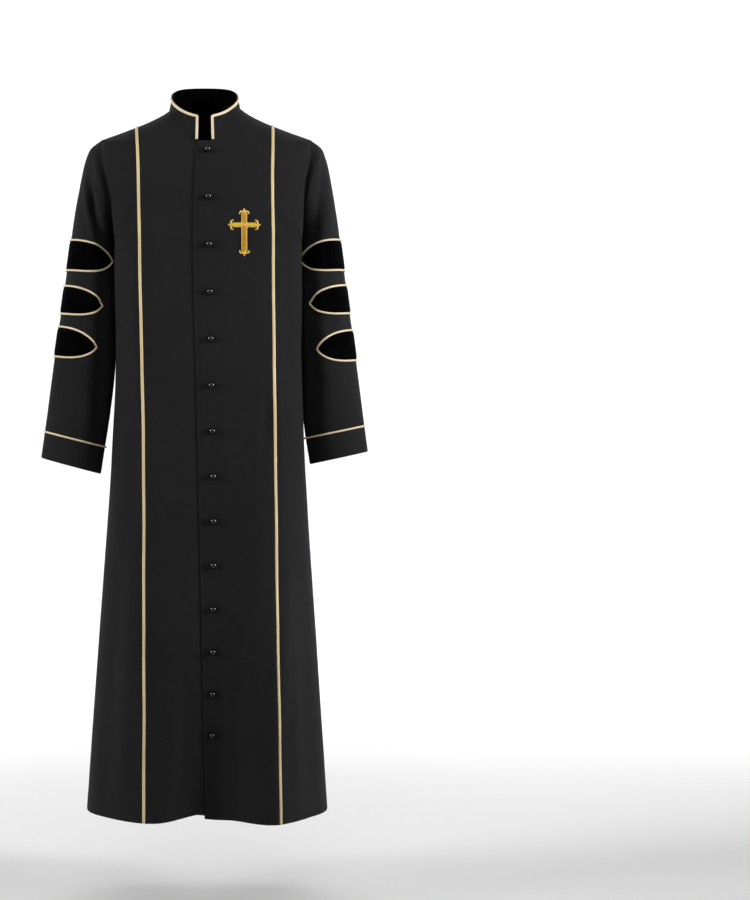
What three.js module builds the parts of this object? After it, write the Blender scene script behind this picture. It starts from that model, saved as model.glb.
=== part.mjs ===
// Clergy robe (cassock), filled out as it is worn, with no wearer.
//
// Millimetres, +Z up. The front faces -Y and the wearer's left is +X. The origin is the middle of the
// neck, level with the two points where the shoulder seams reach it.
//
// The body is two skins, front and back, that meet in a ridge along the shoulders and in the side seams.
// A skin is worked out from horizontal sections: each section runs from edge to edge as a flattened
// ellipse, and folds are added to it towards the hem. A skin is cut into panels along its seam lines.
// The sleeves are rings that turn about the underarm, from the plane of the armhole to level.

import * as THREE from "three";

// ---- Cloth and seams ----
const CLOTH = 2;
const COLLAR_CLOTH = 2.6;
const VELVET = 1.2;
const SEAM_GAP = 0.3;
const SEAT_GAP = 0.4;

// ---- Main sizes ----
const HEM_Z = -1370;
const CHEST_Z = -264;
const SHOULDER_X = 206;
const SHOULDER_Z = -62;
const NECK_HALF = 70;
const NECK_X = -3;
const NECK_FRONT_Y = -82;
const NECK_BACK_Y = 59;
const RIDGE_NECK_Y = 20;
const RIDGE_SHOULDER_Y = 3;
const SIDE_SEAM_Y = 5;
const ARMHOLE_DEPTH = 60;

// Each section: the depth of its middle in front and behind, the bend of its ends
// (0.46 is round, 0.62 is drawn flat into the armhole), and how square the front's ends are.
const BODY_SECTIONS = [
  { z: 32, front: 19, back: 21, bend: 0.47, square: 0 },
  { z: 0, front: -45, back: 66, bend: 0.47, square: 0 },
  { z: -30, front: -62, back: 82, bend: 0.47, square: 0 },
  { z: -70, front: -79, back: 94, bend: 0.5, square: 0 },
  { z: -120, front: -98, back: 105, bend: 0.62, square: 0 },
  { z: -180, front: -114, back: 113, bend: 0.62, square: 0 },
  { z: -264, front: -126, back: 118, bend: 0.46, square: 1 },
  { z: -420, front: -131, back: 117, bend: 0.46, square: 1 },
  { z: -554, front: -133, back: 113, bend: 0.46, square: 1 },
  { z: -760, front: -143, back: 122, bend: 0.46, square: 0.5 },
  { z: -1060, front: -165, back: 152, bend: 0.46, square: 0 },
  { z: -1370, front: -186, back: 184, bend: 0.46, square: 0 },
];
// Half the width between the side seams, from the underarm down.
const SIDE_SEAMS = [
  { z: -264, half: 176 },
  { z: -420, half: 177 },
  { z: -554, half: 181.8 },
  { z: -760, half: 194 },
  { z: -1060, half: 214.5 },
  { z: -1370, half: 235 },
];
const SECTION_POWER = 2.2;
const SQUARE_END = { power: 4, bend: 0.22 };

// Folds: where the middle of the fold lies, half its width at the hem, how far it stands out,
// and the height at which it has died away. A pinched fold has a sharp bottom.
const FRONT_FOLDS = [
  { x: -128, half: 82, out: 20, top: -620, pinched: false },
  { x: 136, half: 84, out: 42, top: -560, pinched: false },
  { x: 6, half: 100, out: -50, top: -480, pinched: false },
];
const BACK_FOLDS = [
  { x: -7, half: 68, out: -112, top: -520, pinched: true },
  { x: 92, half: 62, out: 16, top: -700, pinched: false },
  { x: -94, half: 58, out: 4, top: -760, pinched: false },
];
// The skirt hangs a little towards the wearer's left.
const SKIRT_LEAN = [
  { z: -310, x: 0 },
  { z: -420, x: 1.4 },
  { z: -600, x: 3.8 },
  { z: -1000, x: 3 },
  { z: -1370, x: 1.8 },
];
// The hem is drawn up where the cloth turns in.
const FRONT_RISE = { x: -20, half: 78, height: 10, top: -1000 };
const BACK_RISE = { x: -7, half: 34, height: 17, top: -1000 };

// Lines down the front: the edge of the lap, the edge of the layer beneath it, and the princess seams.
const FRONT_LINES = [
  { z: -30, lap: -20, under: 20, right: -135.5, left: 130 },
  { z: -150, lap: -25, under: 24, right: -130, left: 127.5 },
  { z: -570, lap: -21.5, under: 26.5, right: -124.3, left: 127.1 },
  { z: -960, lap: -13, under: 33, right: -121.2, left: 131.6 },
  { z: -1370, lap: -4.3, under: 38.2, right: -119.2, left: 138.3 },
];
const LOWER_ROWS = [-264, -350, -450, -554, -650, -760, -870, -980, -1080, -1170, -1260, -1320, -1370];
const UPPER_ROWS = 7;
const NECK_SPANS = { front: 6, back: 5 };

// Sleeve rings, as seen from the front: the outer and inner end of each ring, half its depth, and the
// depth at which its centre lies. The arms hang a little forward. The inner ends of the wearer's right
// and left sleeves stand at different distances from the middle, as the skirt hangs to one side.
const SLEEVE_RINGS = [
  { outerX: 206.4, outerZ: -62, innerZ: -264, right: 176.4, left: 176.4, depth: 60, centreY: 4 },
  { outerX: 227, outerZ: -79, innerZ: -269, right: 177.4, left: 177.4, depth: 63, centreY: 4 },
  { outerX: 237, outerZ: -104, innerZ: -274, right: 177.8, left: 177.8, depth: 65, centreY: 3 },
  { outerX: 249, outerZ: -165, innerZ: -284, right: 177.8, left: 177.8, depth: 66, centreY: -1 },
  { outerX: 259, outerZ: -230, innerZ: -304, right: 177.6, left: 177.6, depth: 66, centreY: -8 },
  { outerX: 268, outerZ: -300, innerZ: -340, right: 176.8, left: 177, depth: 64, centreY: -16 },
  { outerX: 279, outerZ: -385, innerZ: -407, right: 175.4, left: 177.2, depth: 61, centreY: -24 },
  { outerX: 291, outerZ: -472, innerZ: -492, right: 176.6, left: 181, depth: 57, centreY: -28 },
  { outerX: 302, outerZ: -560, innerZ: -584, right: 186, left: 185.4, depth: 50, centreY: -30 },
  { outerX: 311, outerZ: -627, innerZ: -654, right: 196.8, left: 193.5, depth: 45, centreY: -31 },
  { outerX: 318, outerZ: -677, innerZ: -705, right: 204.8, left: 201.5, depth: 43, centreY: -32 },
];
const RING_COLUMNS = 20;
const CUFF_SEAM = 9;
const HALF_SEAM_STEP = 0.003;
const SLEEVE_END = CUFF_SEAM - HALF_SEAM_STEP;
const SLEEVE_STEPS = [0, 0.5, 1, 1.5, 2, 2.5, 3, 3.6, 4.3, 5, 5.5, 6, 6.5, 7, 7.6, 8.3, SLEEVE_END];
const CUFF_STEPS = [CUFF_SEAM + HALF_SEAM_STEP, 9.5, 10];
// The wearer's right arm hangs a little further out and lower than the left.
const SIDES = [
  { name: "right", sign: -1, swing: 1.03, outerDrop: 5.5, innerDrop: 8.5, barTilt: 9.4 },
  { name: "left", sign: 1, swing: 0.97, outerDrop: -5.5, innerDrop: -8.5, barTilt: 7.3 },
];

// Velvet bars on each sleeve, from the top one down: the bar's height, how far round the sleeve its
// points reach, and where its middle lies at the outer edge of the right and the left sleeve. The
// points lie lower than the middle, by the tilt of the side.
const BARS = [
  { name: "1", height: 55.5, reach: 145, right: -289.5, left: -289.5 },
  { name: "2", height: 50.5, reach: 122, right: -376.5, left: -376 },
  { name: "3", height: 54.5, reach: 111, right: -457.5, left: -465 },
];
const BAR_POWER = 5;
const BAR_TIP_HEIGHT = 3;
const BAR_SEAT = 0.7;

// ---- Collar ----
const COLLAR_END_X = 13;
const COLLAR_TOP = { half: 65, frontY: -72, sideY: 12, backY: 53, side: 25, tilt: 35.5, hollow: 12.5 };
const COLLAR_LIFT = 0.5;

// ---- Trim ----
const COLLAR_PIPING = { width: 5, thickness: 2, foot: 0.6 };
const FRONT_PIPING = { width: 5.8, height: 2.4, seat: 0.6 };
const CORD_RADIUS = 1.9;
const CORD_SIDES = 5;
const BUTTON_RADIUS = 6.5;
const BUTTON_SEAT = 0.85;
const BUTTON_COUNT = 14;
const BUTTON_FIRST_Z = -92;
const BUTTON_PITCH = 93.3;
const BUTTON_CLOSING = 0.54;
const BUTTON_LINE = [
  { z: -92, x: 2.5 },
  { z: -550, x: 10 },
  { z: -800, x: 14 },
  { z: -1213, x: 11.5 },
];
const CROSS = { x: 72.5, z: -239.5, up: 32.5, down: 60, arm: 31.5 };
const CROSS_STEM = 11.4;
const CROSS_BAR = 9.8;
const CROSS_LEAF = 11;
const CROSS_END = 13;
const CROSS_WAIST = 0.08;
const CROSS_THICKNESS = 1.8;

const COLOURS = {
  cloth: 0x232326,
  velvet: 0x050506,
  gold: 0xc9ae74,
  paleGold: 0xdfc890,
  button: 0x0b0b0c,
  thread: 0xd9a532,
};

// ---- Numbers ----

function lerp(a, b, t) {
  return a + (b - a) * t;
}

function evenly(count, from, to) {
  return Array.from({ length: count + 1 }, (_, i) => lerp(from, to, i / count));
}

// A smooth curve through one column of a table, with no overshoot between its rows.
function column(rows, key, value) {
  const sorted = [...rows].sort((a, b) => a[key] - b[key]);
  const x = sorted.map((row) => row[key]);
  const y = sorted.map((row) => row[value]);
  const slope = x.slice(1).map((right, i) => (y[i + 1] - y[i]) / (right - x[i]));
  const tangent = y.map((_, i) => {
    const before = slope[Math.max(i - 1, 0)];
    const after = slope[Math.min(i, slope.length - 1)];
    return before * after <= 0 ? 0 : (2 * before * after) / (before + after);
  });
  return (at) => {
    const t = Math.min(Math.max(at, x[0]), x[x.length - 1]);
    let i = 0;
    while (i < x.length - 2 && t > x[i + 1]) i += 1;
    const width = x[i + 1] - x[i];
    const s = (t - x[i]) / width;
    const rise = (1 + 2 * s) * (1 - s) ** 2 * y[i] + s * s * (3 - 2 * s) * y[i + 1];
    return rise + width * (s * (1 - s) ** 2 * tangent[i] - s * s * (1 - s) * tangent[i + 1]);
  };
}

// The value between low and high at which a rising function reaches a target.
function solve(rising, target, low, high) {
  for (let i = 0; i < 50; i += 1) {
    const middle = (low + high) / 2;
    if (rising(middle) < target) low = middle;
    else high = middle;
  }
  return (low + high) / 2;
}

// ---- The body's surface ----

const sectionFront = column(BODY_SECTIONS, "z", "front");
const sectionBack = column(BODY_SECTIONS, "z", "back");
const sectionBend = column(BODY_SECTIONS, "z", "bend");
const sectionSquare = column(BODY_SECTIONS, "z", "square");
const sideHalf = column(SIDE_SEAMS, "z", "half");
const skirtLean = column(SKIRT_LEAN, "z", "x");

function ridgeZ(x) {
  return (SHOULDER_Z * (Math.abs(x) - NECK_HALF)) / (SHOULDER_X - NECK_HALF);
}

// Half the width between a skin's two edges: the shoulder ridge, then the armhole, then the side seam.
function edgeX(z) {
  if (z > SHOULDER_Z) return NECK_HALF + (z / SHOULDER_Z) * (SHOULDER_X - NECK_HALF);
  if (z > CHEST_Z) return lerp(SHOULDER_X, sideHalf(z), (z - SHOULDER_Z) / (CHEST_Z - SHOULDER_Z));
  return sideHalf(z);
}

function edgeY(z, way) {
  if (z > SHOULDER_Z) return lerp(RIDGE_NECK_Y, RIDGE_SHOULDER_Y, z / SHOULDER_Z);
  if (z <= CHEST_Z) return SIDE_SEAM_Y;
  const along = (z - SHOULDER_Z) / (CHEST_Z - SHOULDER_Z);
  const round = Math.sqrt(Math.max(0, 1 - (2 * along - 1) ** 2));
  return lerp(RIDGE_SHOULDER_Y, SIDE_SEAM_Y, along) + way * ARMHOLE_DEPTH * round;
}

function foldDepth(folds, x, z) {
  let sum = 0;
  for (const fold of folds) {
    const across = Math.abs(x - fold.x) / fold.half;
    const down = (fold.top - z) / (fold.top - HEM_Z);
    if (across >= 1 || down <= 0) continue;
    const shape = fold.pinched ? (1 - across) ** 1.5 : (1 + Math.cos(Math.PI * across)) / 2;
    sum += fold.out * shape * Math.min(down, 1) ** 1.4;
  }
  return sum;
}

// In these functions way is -1 for the front skin and +1 for the back.
function skinY(x, z, way) {
  const across = Math.min(1, Math.abs(x) / edgeX(z));
  const middle = way < 0 ? sectionFront(z) : sectionBack(z);
  const edge = edgeY(z, way);
  const round = (1 - across ** SECTION_POWER) ** sectionBend(z);
  const square = (1 - across ** SQUARE_END.power) ** SQUARE_END.bend;
  const profile = way < 0 ? lerp(round, square, sectionSquare(z)) : round;
  return edge + (middle - edge) * profile + way * foldDepth(way < 0 ? FRONT_FOLDS : BACK_FOLDS, x, z);
}

function hemRise(x, z, way) {
  const rise = way < 0 ? FRONT_RISE : BACK_RISE;
  const across = Math.abs(x - rise.x) / rise.half;
  if (across >= 1 || z > rise.top) return 0;
  return rise.height * (1 - across) ** 1.5 * ((rise.top - z) / (rise.top - HEM_Z));
}

function skinPoint(x, z, way) {
  return new THREE.Vector3(x + skirtLean(z), skinY(x, z, way), z + hemRise(x, z, way));
}

// The neckline: an oval in plan, whose height is where it meets the skins. Angle 0 is the middle of
// the front and 180 the middle of the back.
function neckPlan(angle) {
  const front = Math.cos(angle);
  const reach = front > 0 ? NECK_FRONT_Y : NECK_BACK_Y;
  return { x: NECK_X + NECK_HALF * Math.sin(angle), y: lerp(RIDGE_NECK_Y, reach, Math.abs(front)) };
}

function neckPoint(angle) {
  const { x, y } = neckPlan(angle);
  const top = ridgeZ(x);
  const way = y < RIDGE_NECK_Y ? -1 : 1;
  const z = solve((at) => -way * skinY(x, at, way), -way * y, top - 120, top);
  return new THREE.Vector3(x, y, z);
}

const COLLAR_END_ANGLE = Math.asin(COLLAR_END_X / NECK_HALF);
const FRONT_NECK_ANGLES = evenly(NECK_SPANS.front, COLLAR_END_ANGLE, Math.PI / 2);
const BACK_NECK_ANGLES = evenly(NECK_SPANS.back, Math.PI / 2, Math.PI);
const HALF_NECK_ANGLES = [...FRONT_NECK_ANGLES, ...BACK_NECK_ANGLES.slice(1)];
const NECK_ANGLES = [
  ...HALF_NECK_ANGLES,
  ...HALF_NECK_ANGLES.slice(0, -1).map((angle) => 2 * Math.PI - angle).reverse(),
];

// ---- Grids of points, and the solids made from them ----

function gridNormals(points, wrap) {
  const rows = points.length;
  const columns = points[0].length;
  return points.map((row, r) => row.map((_, c) => {
    const next = wrap ? (c + 1) % columns : Math.min(c + 1, columns - 1);
    const last = wrap ? (c + columns - 1) % columns : Math.max(c - 1, 0);
    const across = row[next].clone().sub(row[last]);
    const down = points[Math.min(r + 1, rows - 1)][c].clone().sub(points[Math.max(r - 1, 0)][c]);
    return across.cross(down).normalize();
  }));
}

function movedOut(points, normals, distance) {
  return points.map((row, r) => row.map((point, c) =>
    point.clone().addScaledVector(normals[r][c], distance)));
}

function geometryOf(positions, triangles) {
  let volume = 0;
  const corner = (index) => positions[index];
  for (const [a, b, c] of triangles) {
    volume += corner(a).dot(corner(b).clone().cross(corner(c)));
  }
  const faces = volume < 0 ? triangles.map(([a, b, c]) => [a, c, b]) : triangles;
  const geometry = new THREE.BufferGeometry();
  const numbers = positions.flatMap((point) => point.toArray());
  geometry.setAttribute("position", new THREE.Float32BufferAttribute(numbers, 3));
  geometry.setIndex(faces.flat());
  return geometry;
}

// A closed wall between two grids of the same size. With wrap, the last column joins the first.
function wallGeometry(outer, inner, wrap = false) {
  const rows = outer.length;
  const columns = outer[0].length;
  const positions = [...outer.flat(), ...inner.flat()];
  const triangles = [];
  const quad = (a, b, c, d) => triangles.push([a, b, c], [a, c, d]);
  const at = (side, r, c) => side * rows * columns + r * columns + (c % columns);
  const spans = wrap ? columns : columns - 1;
  for (let c = 0; c < spans; c += 1) {
    for (let r = 0; r < rows - 1; r += 1) {
      quad(at(0, r, c), at(0, r + 1, c), at(0, r + 1, c + 1), at(0, r, c + 1));
      quad(at(1, r, c), at(1, r, c + 1), at(1, r + 1, c + 1), at(1, r + 1, c));
    }
    quad(at(0, 0, c), at(0, 0, c + 1), at(1, 0, c + 1), at(1, 0, c));
    quad(at(1, rows - 1, c), at(1, rows - 1, c + 1), at(0, rows - 1, c + 1), at(0, rows - 1, c));
  }
  if (!wrap) {
    for (let r = 0; r < rows - 1; r += 1) {
      quad(at(1, r, 0), at(1, r + 1, 0), at(0, r + 1, 0), at(0, r, 0));
      quad(at(0, r, spans), at(0, r + 1, spans), at(1, r + 1, spans), at(1, r, spans));
    }
  }
  return geometryOf(positions, triangles);
}

// A cord or strip: a section of (side, up) pairs swept along stations with a point, side and up.
function sweepGeometry(stations, section, closed = false) {
  const rings = stations.map(({ point, side, up }) => section.map(([s, u]) =>
    point.clone().addScaledVector(side, s).addScaledVector(up, u)));
  const size = section.length;
  const positions = rings.flat();
  const triangles = [];
  const spans = closed ? rings.length : rings.length - 1;
  for (let r = 0; r < spans; r += 1) {
    for (let i = 0; i < size; i += 1) {
      const a = r * size + i;
      const b = r * size + ((i + 1) % size);
      const c = ((r + 1) % rings.length) * size + ((i + 1) % size);
      const d = ((r + 1) % rings.length) * size + i;
      triangles.push([a, b, c], [a, c, d]);
    }
  }
  if (!closed) {
    const last = (rings.length - 1) * size;
    for (let i = 1; i < size - 1; i += 1) {
      triangles.push([0, i + 1, i], [last, last + i, last + i + 1]);
    }
  }
  return geometryOf(positions, triangles);
}

function roundSection(width, height, lift, sides) {
  return Array.from({ length: sides }, (_, i) => {
    const angle = (2 * Math.PI * (i + 0.5)) / sides;
    return [(width / 2) * Math.cos(angle), lift + (height / 2) * Math.sin(angle)];
  });
}

// The direction along a chain of points, at each of them.
function tangents(points, closed = false) {
  const count = points.length;
  return points.map((_, i) => {
    const next = closed ? (i + 1) % count : Math.min(i + 1, count - 1);
    const last = closed ? (i + count - 1) % count : Math.max(i - 1, 0);
    return points[next].clone().sub(points[last]).normalize();
  });
}

// ---- Front and back skins ----

const line = {
  lap: column(FRONT_LINES, "z", "lap"),
  under: column(FRONT_LINES, "z", "under"),
  right: column(FRONT_LINES, "z", "right"),
  left: column(FRONT_LINES, "z", "left"),
  rightSide: (z) => -edgeX(Math.min(z, SHOULDER_Z)),
  leftSide: (z) => edgeX(Math.min(z, SHOULDER_Z)),
  fold: () => BACK_FOLDS[0].x,
};

function shoulderTop(x) {
  return { x, z: ridgeZ(x), onRidge: true };
}

// Between the collar's ends the top of the lap is cut straight.
function neckTop(angle) {
  const { x, z } = neckPoint(angle);
  const [first, last] = [-COLLAR_END_ANGLE, COLLAR_END_ANGLE].map(neckPoint);
  const isBetween = Math.abs(angle) < COLLAR_END_ANGLE;
  return { x, z: isBetween ? lerp(first.z, last.z, (x - first.x) / (last.x - first.x)) : z };
}

// A stretch of a skin between two lines. Each of its columns has a share of the way across and a top.
function stretch(from, to, shares, tops) {
  return shares.map((share, i) => ({ share, from, to, top: tops[i] }));
}

// Above the chest a column bends from its place on the neckline or shoulder to its place below.
function columnPoints(col, way) {
  const straight = (z) => lerp(line[col.from](z), line[col.to](z), col.share);
  const points = [];
  for (let i = 0; i < UPPER_ROWS; i += 1) {
    const down = (i / UPPER_ROWS) ** 1.7;
    const z = lerp(col.top.z, CHEST_Z, down);
    const bend = (col.top.x - straight(col.top.z)) * (1 - down) ** 2;
    points.push(skinPoint(straight(z) + bend, z, way));
  }
  for (const z of LOWER_ROWS) {
    points.push(skinPoint(straight(z), z, way));
  }
  return points;
}

function skin(columns, way) {
  const down = columns.map((col) => columnPoints(col, way));
  const points = down[0].map((_, r) => down.map((col) => col[r]));
  const normals = gridNormals(points, false);
  const facing = normals[UPPER_ROWS][Math.floor(columns.length / 2)].y * way < 0 ? -1 : 1;
  normals.forEach((row, r) => row.forEach((normal, c) => {
    normal.multiplyScalar(facing);
    const onShoulder = r === 0 && columns[c].top.onRidge;
    const onSide = (c === 0 || c === row.length - 1) && r >= UPPER_ROWS;
    if (onShoulder || onSide) normal.setY(0).normalize();
  }));
  return { points, normals };
}

function frontSkin() {
  const shoulder = (from, to, count) => evenly(count, from, to).map(shoulderTop);
  const neckRight = FRONT_NECK_ANGLES.map((angle) => neckTop(-angle)).reverse();
  const neckLeft = FRONT_NECK_ANGLES.map(neckTop);
  const shares = [0, 0.13, 0.26, 0.39, 0.52, 0.64, 0.76, 0.88, 1];
  const mirrored = shares.map((share) => 1 - share).reverse();
  const sideShares = [0, 0.06, 0.17, 0.36, 0.67, 1];
  const mirroredSide = sideShares.map((share) => 1 - share).reverse();
  const rightTops = [...shoulder(line.right(-30), NECK_X - NECK_HALF, 2), ...neckRight.slice(1)];
  const leftTops = [...neckLeft, ...shoulder(NECK_X + NECK_HALF, line.left(-30), 2).slice(1)];
  const columns = [
    ...stretch("rightSide", "right", sideShares, shoulder(-SHOULDER_X, line.right(-30), 5)),
    ...stretch("right", "lap", shares, rightTops).slice(1),
    ...stretch("lap", "under", [0, 0.5, 1], [-COLLAR_END_ANGLE, 0, COLLAR_END_ANGLE].map(neckTop)).slice(1),
    ...stretch("under", "left", mirrored, leftTops).slice(1),
    ...stretch("left", "leftSide", mirroredSide, shoulder(line.left(-30), SHOULDER_X, 5)).slice(1),
  ];
  return { columns, ...skin(columns, -1) };
}

function backSkin() {
  const shares = [0, 0.05, 0.13, 0.24, 0.36, 0.48, 0.59, 0.69, 0.77, 0.84, 0.905, 0.96, 1];
  const half = (sign, from, to) => {
    const spans = shares.length - 1 - NECK_SPANS.back;
    const tops = [
      ...evenly(spans, sign * SHOULDER_X, NECK_X + sign * NECK_HALF).map(shoulderTop),
      ...BACK_NECK_ANGLES.slice(1).map((angle) => neckTop(sign * angle)),
    ];
    return stretch(from, to, shares, tops);
  };
  const right = half(-1, "rightSide", "fold");
  const left = half(1, "leftSide", "fold").reverse();
  const columns = [...right, ...left.slice(1)];
  return { columns, ...skin(columns, 1) };
}

// The columns of a skin from one number to another, drawn in by half a seam at each cut edge.
function panel(source, from, to, trimmed = { first: true, last: true }) {
  const cut = (grid) => grid.map((row) => row.slice(from, to + 1).map((point) => point.clone()));
  const points = cut(source.points);
  const normals = cut(source.normals);
  for (const row of points) {
    const across = row[1].clone().sub(row[0]).normalize();
    const backAcross = row[row.length - 2].clone().sub(row[row.length - 1]).normalize();
    if (trimmed.first) row[0].addScaledVector(across, SEAM_GAP / 2);
    if (trimmed.last) row[row.length - 1].addScaledVector(backAcross, SEAM_GAP / 2);
  }
  return { points, normals };
}

// Moves a skin's shoulder and side edges apart from the other skin's by half a seam.
function partSkins(source, way) {
  source.points.forEach((row, r) => row.forEach((point, c) => {
    const edge = c === 0 || c === row.length - 1;
    if (r === 0 || (edge && r >= UPPER_ROWS)) point.y += (way * SEAM_GAP) / 2;
  }));
  return source;
}

// ---- Sleeves ----

const ring = Object.fromEntries(Object.keys(SLEEVE_RINGS[0]).map((key) => [
  key,
  column(SLEEVE_RINGS.map((row, step) => ({ step, ...row })), "step", key),
]));

// A point of the sleeve's outside: step counts the rings from the armhole to the hand, and angle goes
// round from the outer edge, 0, over the front, 90, to the underarm, 180.
function sleevePoint(side, step, degrees) {
  const angle = THREE.MathUtils.degToRad(degrees);
  const far = Math.min(step / 3, 1);
  const swing = lerp(1, side.swing, far);
  const outerX = SHOULDER_X + (ring.outerX(step) - SHOULDER_X) * swing;
  const down = far * (step / CUFF_SEAM);
  const outerZ = ring.outerZ(step) - side.outerDrop * down;
  const innerZ = ring.innerZ(step) - side.innerDrop * down;
  const reach = (1 + Math.cos(angle)) / 2;
  return new THREE.Vector3(
    side.sign * lerp(ring[side.name](step), outerX, reach),
    ring.centreY(step) - ring.depth(step) * Math.sin(angle),
    lerp(innerZ, outerZ, reach),
  );
}

function sleeveGrid(side, steps) {
  return steps.map((step) => Array.from({ length: RING_COLUMNS }, (_, c) =>
    sleevePoint(side, step, (360 * c) / RING_COLUMNS)));
}

function sleeveNormal(side, step, degrees) {
  const around = sleevePoint(side, step, degrees + 4).sub(sleevePoint(side, step, degrees - 4));
  const along = sleevePoint(side, step + 0.2, degrees).sub(sleevePoint(side, step - 0.2, degrees));
  return around.cross(along).normalize().multiplyScalar(side.sign);
}

// At each end the wall's thickness lies in the plane of the ring.
function tubeWall(side, steps) {
  const outer = sleeveGrid(side, steps);
  const normals = gridNormals(outer, true).map((row) => row.map((n) => n.multiplyScalar(side.sign)));
  for (const end of [0, steps.length - 1]) {
    const half = RING_COLUMNS / 2;
    const long = outer[end][0].clone().sub(outer[end][half]).normalize();
    const facing = long.cross(new THREE.Vector3(0, 1, 0)).normalize();
    normals[end].forEach((normal) => normal.projectOnPlane(facing).normalize());
  }
  return wallGeometry(outer, movedOut(outer, normals, -CLOTH), true);
}

// ---- Velvet bars and their piping ----

function barHalfHeight(bar, degrees) {
  const across = Math.min(1, Math.abs(degrees) / bar.reach);
  return Math.max(BAR_TIP_HEIGHT / 2, (bar.height / 2) * (1 - across ** BAR_POWER));
}

function barAngles(bar) {
  const spacing = 360 / RING_COLUMNS;
  const count = Math.floor((bar.reach - 4) / spacing);
  const inside = Array.from({ length: 2 * count + 1 }, (_, i) => (i - count) * spacing);
  return [-bar.reach, ...inside, bar.reach];
}

// The ring step at an angle that lies a distance below the bar's tilted middle line.
function barStep(side, bar, degrees, below) {
  const first = bar[side.name];
  const slope = Math.tan(THREE.MathUtils.degToRad(side.barTilt));
  const edge = solve((step) => -sleevePoint(side, step, 0).z, -first, 1, 9.9);
  const edgeX = Math.abs(sleevePoint(side, edge, 0).x);
  const depth = (step) => {
    const { x, z } = sleevePoint(side, step, degrees);
    return -z - slope * (edgeX - Math.abs(x));
  };
  return solve(depth, below - first, 1, 9.9);
}

function barGeometry(side, bar) {
  const angles = barAngles(bar);
  const level = (lift) => [-1, -0.35, 0.35, 1].map((way) => angles.map((degrees) => {
    const step = barStep(side, bar, degrees, way * barHalfHeight(bar, degrees));
    return sleevePoint(side, step, degrees).addScaledVector(sleeveNormal(side, step, degrees), lift);
  }));
  return wallGeometry(level(BAR_SEAT + VELVET), level(BAR_SEAT));
}

function barPipingGeometry(side, bar) {
  const middle = (degrees) => sleevePoint(side, barStep(side, bar, degrees, 0), degrees);
  const angles = barAngles(bar);
  let around = 0;
  const middles = angles.map((degrees, i) => {
    if (i > 0) around += middle(degrees).distanceTo(middle(angles[i - 1]));
    const round = middle(degrees + 3).distanceTo(middle(degrees - 3)) / 6;
    return { degrees, around, round, half: barHalfHeight(bar, degrees) };
  });
  const edge = (way) => middles.map((at) => ({ ...at, below: way * at.half }));
  const flat = [...edge(-1), ...edge(1).reverse()];
  const clear = CORD_RADIUS + 2.5 * SEAT_GAP;
  const loop = flat.map((at, i) => {
    const next = flat[(i + 1) % flat.length];
    const last = flat[(i + flat.length - 1) % flat.length];
    const outward = new THREE.Vector2(next.below - last.below, last.around - next.around).normalize();
    const degrees = at.degrees + (outward.x * clear) / at.round;
    return { degrees, step: barStep(side, bar, degrees, at.below + outward.y * clear) };
  });
  const points = loop.map(({ step, degrees }) => sleevePoint(side, step, degrees));
  const along = tangents(points, true);
  const stations = loop.map(({ step, degrees }, i) => {
    const up = sleeveNormal(side, step, degrees);
    return { point: points[i], up, side: along[i].clone().cross(up).normalize() };
  });
  const section = roundSection(2 * CORD_RADIUS, 2 * CORD_RADIUS, CORD_RADIUS + BAR_SEAT, CORD_SIDES);
  return sweepGeometry(stations, section, true);
}

function cuffPipingGeometry(side) {
  const degrees = Array.from({ length: RING_COLUMNS }, (_, c) => (360 * c) / RING_COLUMNS);
  const stations = degrees.map((at) => {
    const up = sleeveNormal(side, CUFF_SEAM, at);
    const around = sleevePoint(side, CUFF_SEAM, at + 4).sub(sleevePoint(side, CUFF_SEAM, at - 4));
    return { point: sleevePoint(side, CUFF_SEAM, at), up, side: around.cross(up).normalize() };
  });
  const section = roundSection(2 * CORD_RADIUS, 2 * CORD_RADIUS, CORD_RADIUS + SEAT_GAP, CORD_SIDES);
  return sweepGeometry(stations, section, true);
}

// ---- Collar ----

function collarTop(angle) {
  const front = Math.cos(angle);
  return new THREE.Vector3(
    NECK_X + COLLAR_TOP.half * Math.sin(angle),
    lerp(COLLAR_TOP.sideY, front > 0 ? COLLAR_TOP.frontY : COLLAR_TOP.backY, Math.abs(front)),
    COLLAR_TOP.side - COLLAR_TOP.tilt * front - COLLAR_TOP.hollow * front * front,
  );
}

// The collar's slant height at an angle, and how far that line is from square to the top edge.
function collarRule(angle) {
  const base = neckPoint(angle).add(new THREE.Vector3(0, 0, COLLAR_LIFT));
  const top = collarTop(angle);
  const down = base.clone().sub(top);
  const edge = collarTop(angle + 0.02).sub(collarTop(angle - 0.02)).normalize();
  return { base, top, height: edge.cross(down).length() };
}

// A point of the collar's outside, at a distance from its top edge.
function collarPoint(angle, below) {
  const { base, top, height } = collarRule(angle);
  return top.lerp(base, below / height);
}

function collarNormal(angle, below) {
  const around = collarPoint(angle + 0.04, below).sub(collarPoint(angle - 0.04, below));
  const down = collarPoint(angle, below + 4).sub(collarPoint(angle, Math.max(below - 4, 0)));
  return around.cross(down).normalize().negate();
}

function collarGeometry() {
  const level = (share) => NECK_ANGLES.map((angle) => collarRule(angle).height * share);
  const rows = [level(0), level(0.5), level(1)];
  const outer = rows.map((row) => row.map((at, c) => collarPoint(NECK_ANGLES[c], at)));
  const normals = rows.map((row) => row.map((at, c) => collarNormal(NECK_ANGLES[c], at)));
  return wallGeometry(outer, movedOut(outer, normals, -COLLAR_CLOTH));
}

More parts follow.
